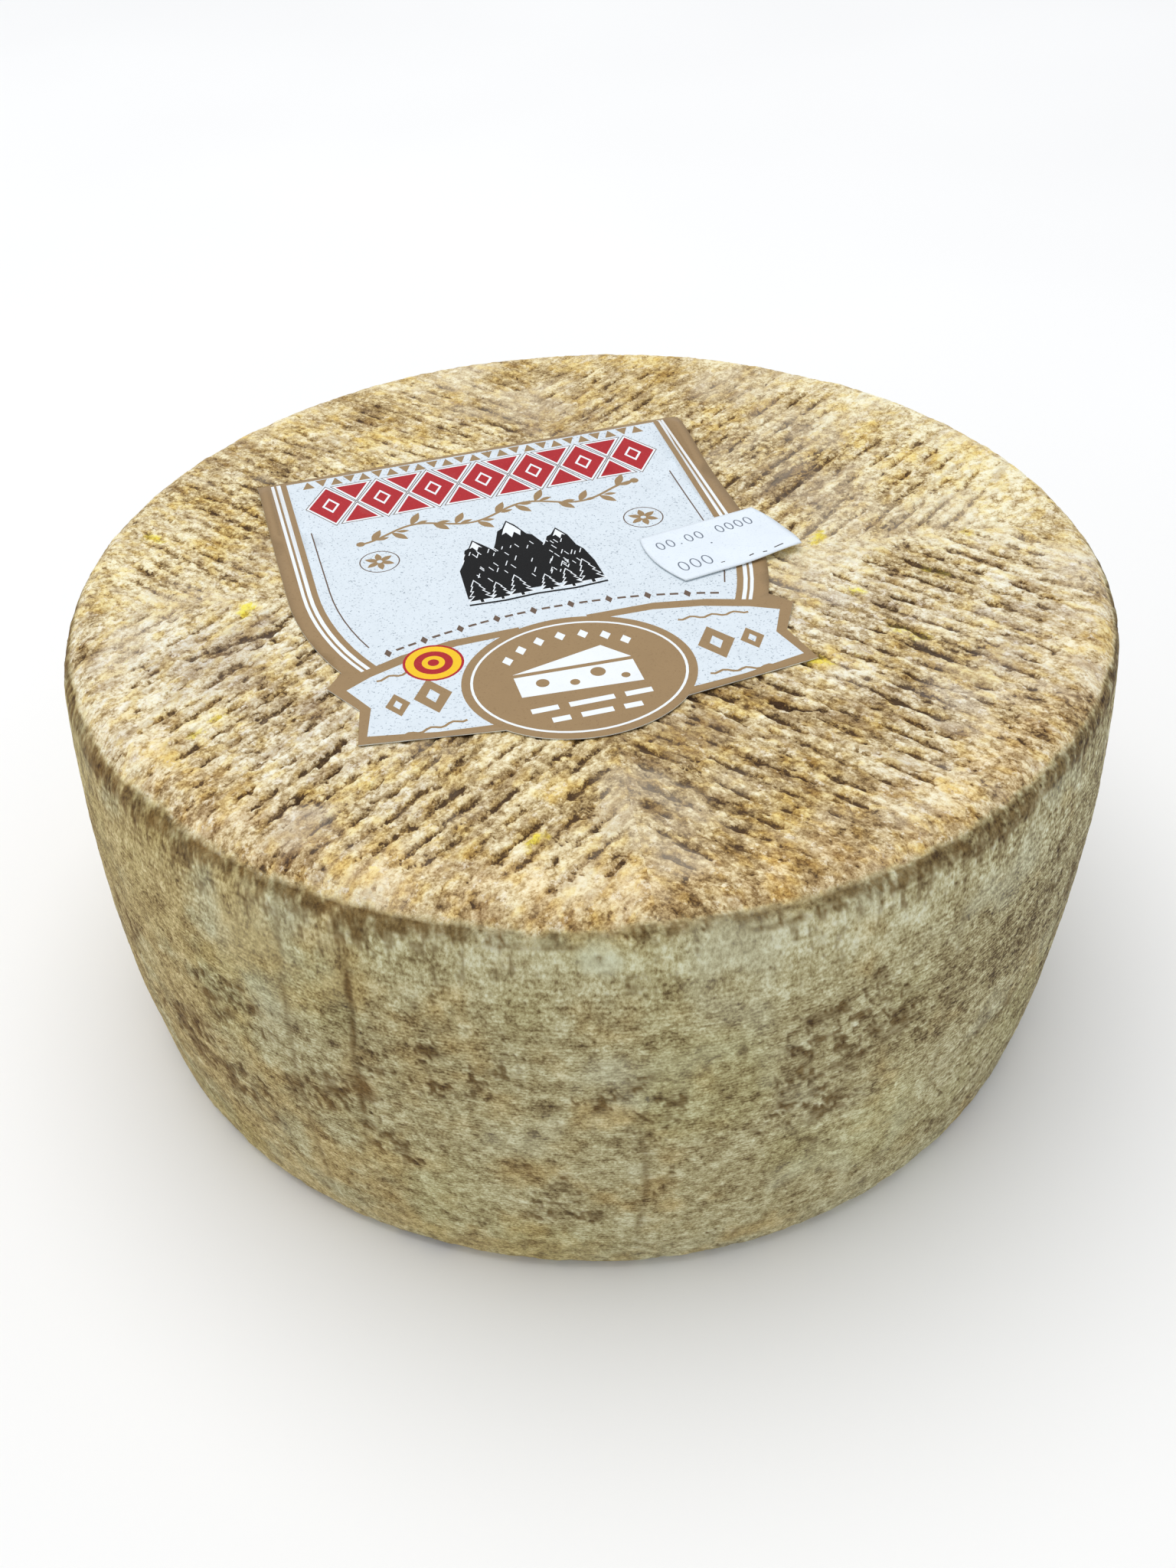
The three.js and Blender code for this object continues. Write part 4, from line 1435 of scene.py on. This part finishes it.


# The ramp's darkest colours come in the recesses through painted shade.
FACE_COLOURS = (  # the upper face from its deepest pits to its palest crumbs
    (0.00, srgb(80, 58, 33)),
    (0.16, srgb(126, 101, 60)),
    (0.32, srgb(169, 143, 96)),
    (0.47, srgb(202, 180, 133)),
    (0.62, srgb(231, 214, 171)),
    (0.78, srgb(248, 239, 201)),
    (1.00, srgb(254, 251, 225)),
)
SIDE_COLOURS = (  # the side from its darkest stains to its palest threads
    (0.00, srgb(74, 56, 32)),
    (0.20, srgb(124, 105, 66)),
    (0.40, srgb(172, 158, 112)),
    (0.58, srgb(205, 196, 152)),
    (0.76, srgb(230, 226, 190)),
    (1.00, srgb(246, 246, 222)),
)
GOLD = srgb(250, 230, 150)
TAUPE = srgb(208, 194, 182)
OCHRE = srgb(250, 231, 146)
BLUSH = srgb(255, 228, 192)
CHALK = srgb(226, 215, 194)
WORN_TINT = srgb(214, 203, 196)
WORN_FILM = srgb(180, 164, 144)
FLAKE = srgb(255, 249, 230)
MOULD_TINT = srgb(255, 248, 120)
MOULD_FILM = srgb(250, 240, 96)
ASH = (0.97, 1.0, 1.16, 1)
PALE_STONE = srgb(222, 226, 202)
STRAW = srgb(255, 231, 190)
MOSS = srgb(246, 249, 222)
STAIN = srgb(150, 125, 84)
RIND_BUMP = 0.45 * MM


class Rind(Nodes):
    """The rind: grainy cream to brown above, grey-green khaki with brown stains round the side."""

    def __init__(self):
        super().__init__("rind_crust")
        self.tone, self.grit = self.attribute("tone"), self.attribute("grit")
        self.draw_rows()
        self.draw_cloth()
        side = self.attribute("side")
        heights = {0: side, 2: self.row_height(), 3: self.cloth_height()}
        self.surface(
            Base_Color=self.mix(side, self.face_colour(), self.side_colour()),
            Roughness=self.total((self.row_noise, 0.25), 0.68),
            Specular_IOR_Level=0.35,
        )
        strength = self.total((self.grit, 0.65), 0.25)
        self.bump(self.add("Mix", heights).outputs[0], RIND_BUMP, strength)

    def draw_rows(self):
        """Grains and noise in the coordinate that runs along and across the mat's rows."""
        self.rows = self.attribute("row_grain", "Vector")
        ragged = self.frayed(self.rows, 1.4, 1.2)
        self.draw, self.second, self.row_crumb = self.grains(ragged, 0.85)
        self.fine_draw, _, self.fine_crumb = self.grains(self.moved(ragged, (1, 1, 1), (7, 29, 3)), 1.75)
        self.row_noise = self.noise(self.rows, 1.7, 3.0, 0.65)
        self.row_blotch = self.row_clouds((0.8, 1, 1), (71, 13, 5), 0.62, 4.0, 0.72)

    def row_clouds(self, scale, shift, per_unit, detail, roughness):
        return self.noise(self.moved(self.rows, scale, shift), per_unit, detail, roughness)

    def draw_cloth(self):
        """Noise in the coordinate that follows the threads of the cloth."""
        self.cloth = self.attribute("cloth_grain", "Vector")
        self.cloth_noise = self.noise(self.cloth, 1.6, 3.0, 0.68)
        self.cloth_crumb = self.grains(self.cloth, 1.3)[2]
        shifted = self.moved(self.cloth, (0.72, 0.72, 1), (31, 47, 11))
        self.cloth_blotch = self.noise(shifted, 0.5, 4.0, 0.74)

    def face_tone(self):
        """From 0 in the pits, which painted shade darkens, to 1 on the palest crumbs."""
        painted_hollow_shade = self.attribute("painted_hollow_shade")
        # edge: painted shade in the furrows, pits and cracks, broken up by the grains
        edge = self.total((self.row_blotch, 1.0), (self.row_noise, 0.8), (self.draw, -0.30),
                          (self.fine_crumb, 0.30), painted_hollow_shade, -0.90)
        crumble = self.total((self.draw, 0.30), (self.row_crumb, -0.34), (self.fine_draw, 0.20),
                             (self.fine_crumb, -0.26), 0.08)
        return self.total((self.row_noise, 0.85), (self.row_blotch, 0.70), (crumble, self.grit),
                          self.tone, (self.step(edge, 0.28, 0.60), -0.30), -0.830)

    def face_colour(self):
        tone = self.face_tone()
        face = self.ramp(tone, FACE_COLOURS)
        gold = self.step(self.row_clouds((0.7, 1, 1), (17, 59, 23), 0.36, 1.0, 0.6), 0.46, 0.68)
        taupe = self.step(self.row_clouds((0.35, 1, 1), (3, 83, 41), 0.28, 2.0, 0.6), 0.50, 0.68)
        ochre, blush = self.attribute("ochre"), self.attribute("blush")
        tints = ((gold, 0.50, GOLD), (taupe, 0.62, TAUPE), (ochre, 0.55, OCHRE), (blush, 0.45, BLUSH))
        for amount, share, colour in tints:
            face = self.tint(self.times(amount, share), face, colour)
        face = self.mix(self.times(self.attribute("chalk"), 0.28), face, CHALK)
        worn = self.mix(0.25, self.tint(1.0, face, WORN_TINT), WORN_FILM)
        face = self.mix(self.times(self.attribute("worn"), 0.85), face, worn)
        flake = self.step(self.row_clouds((1, 1, 1), (9, 37, 61), 0.42, 4.0, 0.72), 0.55, 0.64)
        flake = self.times(flake, self.step(tone, 0.30, 0.62))
        face = self.mix(self.times(flake, 0.45), face, FLAKE)
        yellow = self.mix(0.12, self.tint(1.0, face, MOULD_TINT), MOULD_FILM)
        return self.tint(self.attribute("ash"), self.mix(self.mould_share(), face, yellow), ASH)

    def mould_share(self):
        """The mould's spots, broken up by the grains."""
        mould = self.attribute("mould")
        spotted = self.total(mould, (self.row_blotch, 1.0), (self.row_noise, 0.6), (self.second, 0.4))
        return self.times(self.step(spotted, 1.15, 1.85), self.step(mould, 0.0, 0.25))

    def side_colour(self):
        thread_inputs = {"Vector": self.cloth, "Scale": 0.30, "Distortion": 2.2, "Detail": 2.0,
                         "Detail Scale": 1.6}
        thread = self.add("TexWave", thread_inputs, bands_direction="Z").outputs["Fac"]
        thready = self.total((self.cloth_noise, 1.15), (self.cloth_blotch, 0.95),
                             (self.cloth_crumb, -0.20), (thread, 0.08), -0.98)
        stone = self.ramp(self.total((thready, self.grit), self.tone), SIDE_COLOURS)
        pale = self.mix(0.45, stone, PALE_STONE)
        stone = self.mix(self.times(self.attribute("pale"), 0.6), stone, pale)
        stone = self.tint(self.times(self.attribute("straw"), 0.65), stone, STRAW)
        stone = self.tint(self.times(self.attribute("moss"), 0.4), stone, MOSS)
        return self.mix(self.stain_share(), stone, self.tint(1.0, stone, STAIN))

    def stain_share(self):
        """The stains, broken up by the cloth's threads."""
        stain = self.attribute("stain")
        broken = self.total(stain, (self.noise(self.cloth, 3.2, 2.0, 0.6), 1.00),
                            (self.cloth_noise, 0.50), -0.75)
        return self.total((self.step(broken, 0.10, 0.95), 0.50), (stain, 0.45))

    def row_height(self):
        return self.total((self.row_noise, 0.6), (self.row_blotch, 0.8), (self.row_crumb, -0.55),
                          (self.fine_crumb, -0.30))

    def cloth_height(self):
        fine = self.noise(self.cloth, 3.2, 1.0)
        return self.total((self.cloth_noise, 0.8), (self.cloth_crumb, -0.3), (fine, 0.3))


PAPERS = {  # the ink's colour, its flecks', the share of flecks, roughness, and shine if not 0.3
    # The field's pale paper colour carries a painted reflection: its cool blue tint stands in for the sky
    # mirrored in the paper.
    "field": (srgb(223, 233, 241), srgb(148, 160, 172), 1.0, 0.46),
    "ink_white": (srgb(243, 248, 252), srgb(225, 232, 238), 0.4, 0.46),
    "ink_brown": (srgb(158, 130, 92), srgb(138, 110, 74), 0.6, 0.42),
    "ink_dark": (srgb(104, 84, 70), srgb(150, 132, 116), 0.5, 0.46),
    "ink_red": (srgb(176, 24, 34), srgb(206, 60, 64), 0.5, 0.42),
    "ink_black": (srgb(12, 12, 13), srgb(40, 39, 40), 0.5, 0.45, 0.15),
    "ink_yellow": (srgb(246, 200, 24), srgb(236, 170, 30), 0.4, 0.42),
    "paper_back": (srgb(236, 238, 236), srgb(214, 214, 210), 0.6, 0.75),
    "sticker_face": (srgb(232, 241, 250), srgb(208, 219, 230), 0.6, 0.52),
    "stamp": (srgb(112, 120, 134), srgb(165, 174, 186), 0.8, 0.5),
    "stamp_dark": (srgb(62, 52, 42), srgb(120, 110, 98), 0.7, 0.6),
}
FIBRES_PER_METRE = 1900
CLOUDS_PER_METRE = 160
FIBRE_RELIEF = 0.03 * MM


def paper_material(name, ink, fleck, flecks, roughness, shine=0.3):
    """Printed paper: an ink colour with fine flecks of another, over a faint fibre relief."""
    m = Nodes(name)
    where = m.add("TexCoord").outputs["Object"]
    fine = m.noise(where, FIBRES_PER_METRE, 2.0, 0.6)
    cloud = m.noise(where, CLOUDS_PER_METRE, 3.0)
    colour = m.mix(flecks, ink, m.mix(m.step(fine, 0.56, 0.74), ink, fleck))
    shade = m.ramp(cloud, ((0.3, grey(0.95)), (0.7, grey(1.0))))
    m.surface(
        Base_Color=m.tint(1.0, colour, shade),
        Roughness=m.total((fine, 0.16), roughness - 0.08),
        Specular_IOR_Level=shine,
    )
    m.bump(m.total((fine, 1.0), (cloud, 1.5)), FIBRE_RELIEF, 0.8)


# ---- stage, light and camera ----

FLOOR_HALF = 4000.0


def make_floor():
    """A wide pale floor with a faint unevenness of tone."""
    m = Nodes("floor_paint")
    cloud = m.noise(m.add("TexCoord").outputs["Object"], 3.0, 2.0)
    m.surface(Base_Color=m.ramp(cloud, ((0.3, grey(0.93)), (0.7, grey(0.96)))), Roughness=0.8)
    corners = [(FLOOR_HALF * i, FLOOR_HALF * j, 0) for i, j in ((-1, -1), (1, -1), (1, 1), (-1, 1))]
    floor = new_object("studio_floor", corners, [np.array([[0, 1, 2, 3]])], smooth=False)
    floor.data.materials.append(m.material)


ROOM_COLOUR = (0.93, 0.96, 1.0, 1)
ROOM_STRENGTH = 0.62
KEY_PLACE = (-0.3, 0.35, 2.6)  # metres, like its target and its size
KEY_TARGET = (0, 0, 0.1)
KEY_SIZE = 2.6
KEY_POWER = 42.0  # watts
KEY_COLOUR = (1.0, 0.98, 0.95)


def make_light():
    """Soft light from above and a little behind, in a pale room."""
    world = bpy.data.worlds.new("studio")
    world.use_nodes = True
    background = world.node_tree.nodes["Background"]
    background.inputs["Color"].default_value = ROOM_COLOUR
    background.inputs["Strength"].default_value = ROOM_STRENGTH
    bpy.context.scene.world = world
    light = bpy.data.lights.new("key", "AREA")
    light.shape = "DISK"
    light.size = KEY_SIZE
    light.energy = KEY_POWER
    light.color = KEY_COLOUR
    lamp = bpy.data.objects.new("key", light)
    lamp.location = KEY_PLACE
    towards = Vector(KEY_TARGET) - Vector(KEY_PLACE)
    lamp.rotation_euler = towards.to_track_quat("-Z", "Y").to_euler()
    bpy.context.scene.collection.objects.link(lamp)
    bpy.context.scene.view_settings.view_transform = "Standard"


# The camera looks at the middle of the upper face, from the front and above.
CAMERA_PITCH = 41.975  # degrees below the horizon
CAMERA_ROLL = -5.541
CAMERA_DISTANCE = 376.9
CAMERA_SLIDE = (-38.0, -67.5)  # right and up in the level picture plane
PICTURE_TALL = 2048  # pixels
PICTURE_WIDE = 1536
FOCAL_PIXELS = 2059.3
AXIS_PIXEL = (579.2, 1128.4)  # where the optical axis meets the picture, from its upper left
SENSOR = 36.0  # mm along the tall side


def make_camera():
    pitch, roll = math.radians(CAMERA_PITCH), math.radians(CAMERA_ROLL)
    back = Vector((0, -math.cos(pitch), math.sin(pitch)))
    right, up = Vector((1, 0, 0)), Vector((0, math.sin(pitch), math.cos(pitch)))
    place = back * CAMERA_DISTANCE + right * CAMERA_SLIDE[0] + up * CAMERA_SLIDE[1]
    place.z += HEIGHT
    rolled_right = right * math.cos(roll) + up * math.sin(roll)
    rolled_up = up * math.cos(roll) - right * math.sin(roll)
    view = Matrix((rolled_right, rolled_up, back)).transposed().to_4x4()
    data = bpy.data.cameras.new("view")
    data.sensor_fit = "VERTICAL"
    data.sensor_height = SENSOR
    data.sensor_width = SENSOR
    data.lens = SENSOR * FOCAL_PIXELS / PICTURE_TALL
    data.shift_x = (PICTURE_WIDE / 2 - AXIS_PIXEL[0]) / PICTURE_TALL
    data.shift_y = (AXIS_PIXEL[1] - PICTURE_TALL / 2) / PICTURE_TALL
    data.clip_start = 0.01
    camera = bpy.data.objects.new("view", data)
    camera.matrix_world = Matrix.Translation(place * MM) @ view
    bpy.context.scene.collection.objects.link(camera)
    bpy.context.scene.camera = camera


# ---- the scene ----

make_camera()
make_light()
make_floor()
for name, look in PAPERS.items():
    paper_material(name, *look)

wheel = make_wheel()
wheel.data.materials.append(Rind().material)
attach(wheel, "root")
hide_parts("cheese_wheel")

label = make_label()
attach(label, "root")
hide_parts("paper_label")

sticker = make_sticker()
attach(sticker, "root")
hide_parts("date_sticker")
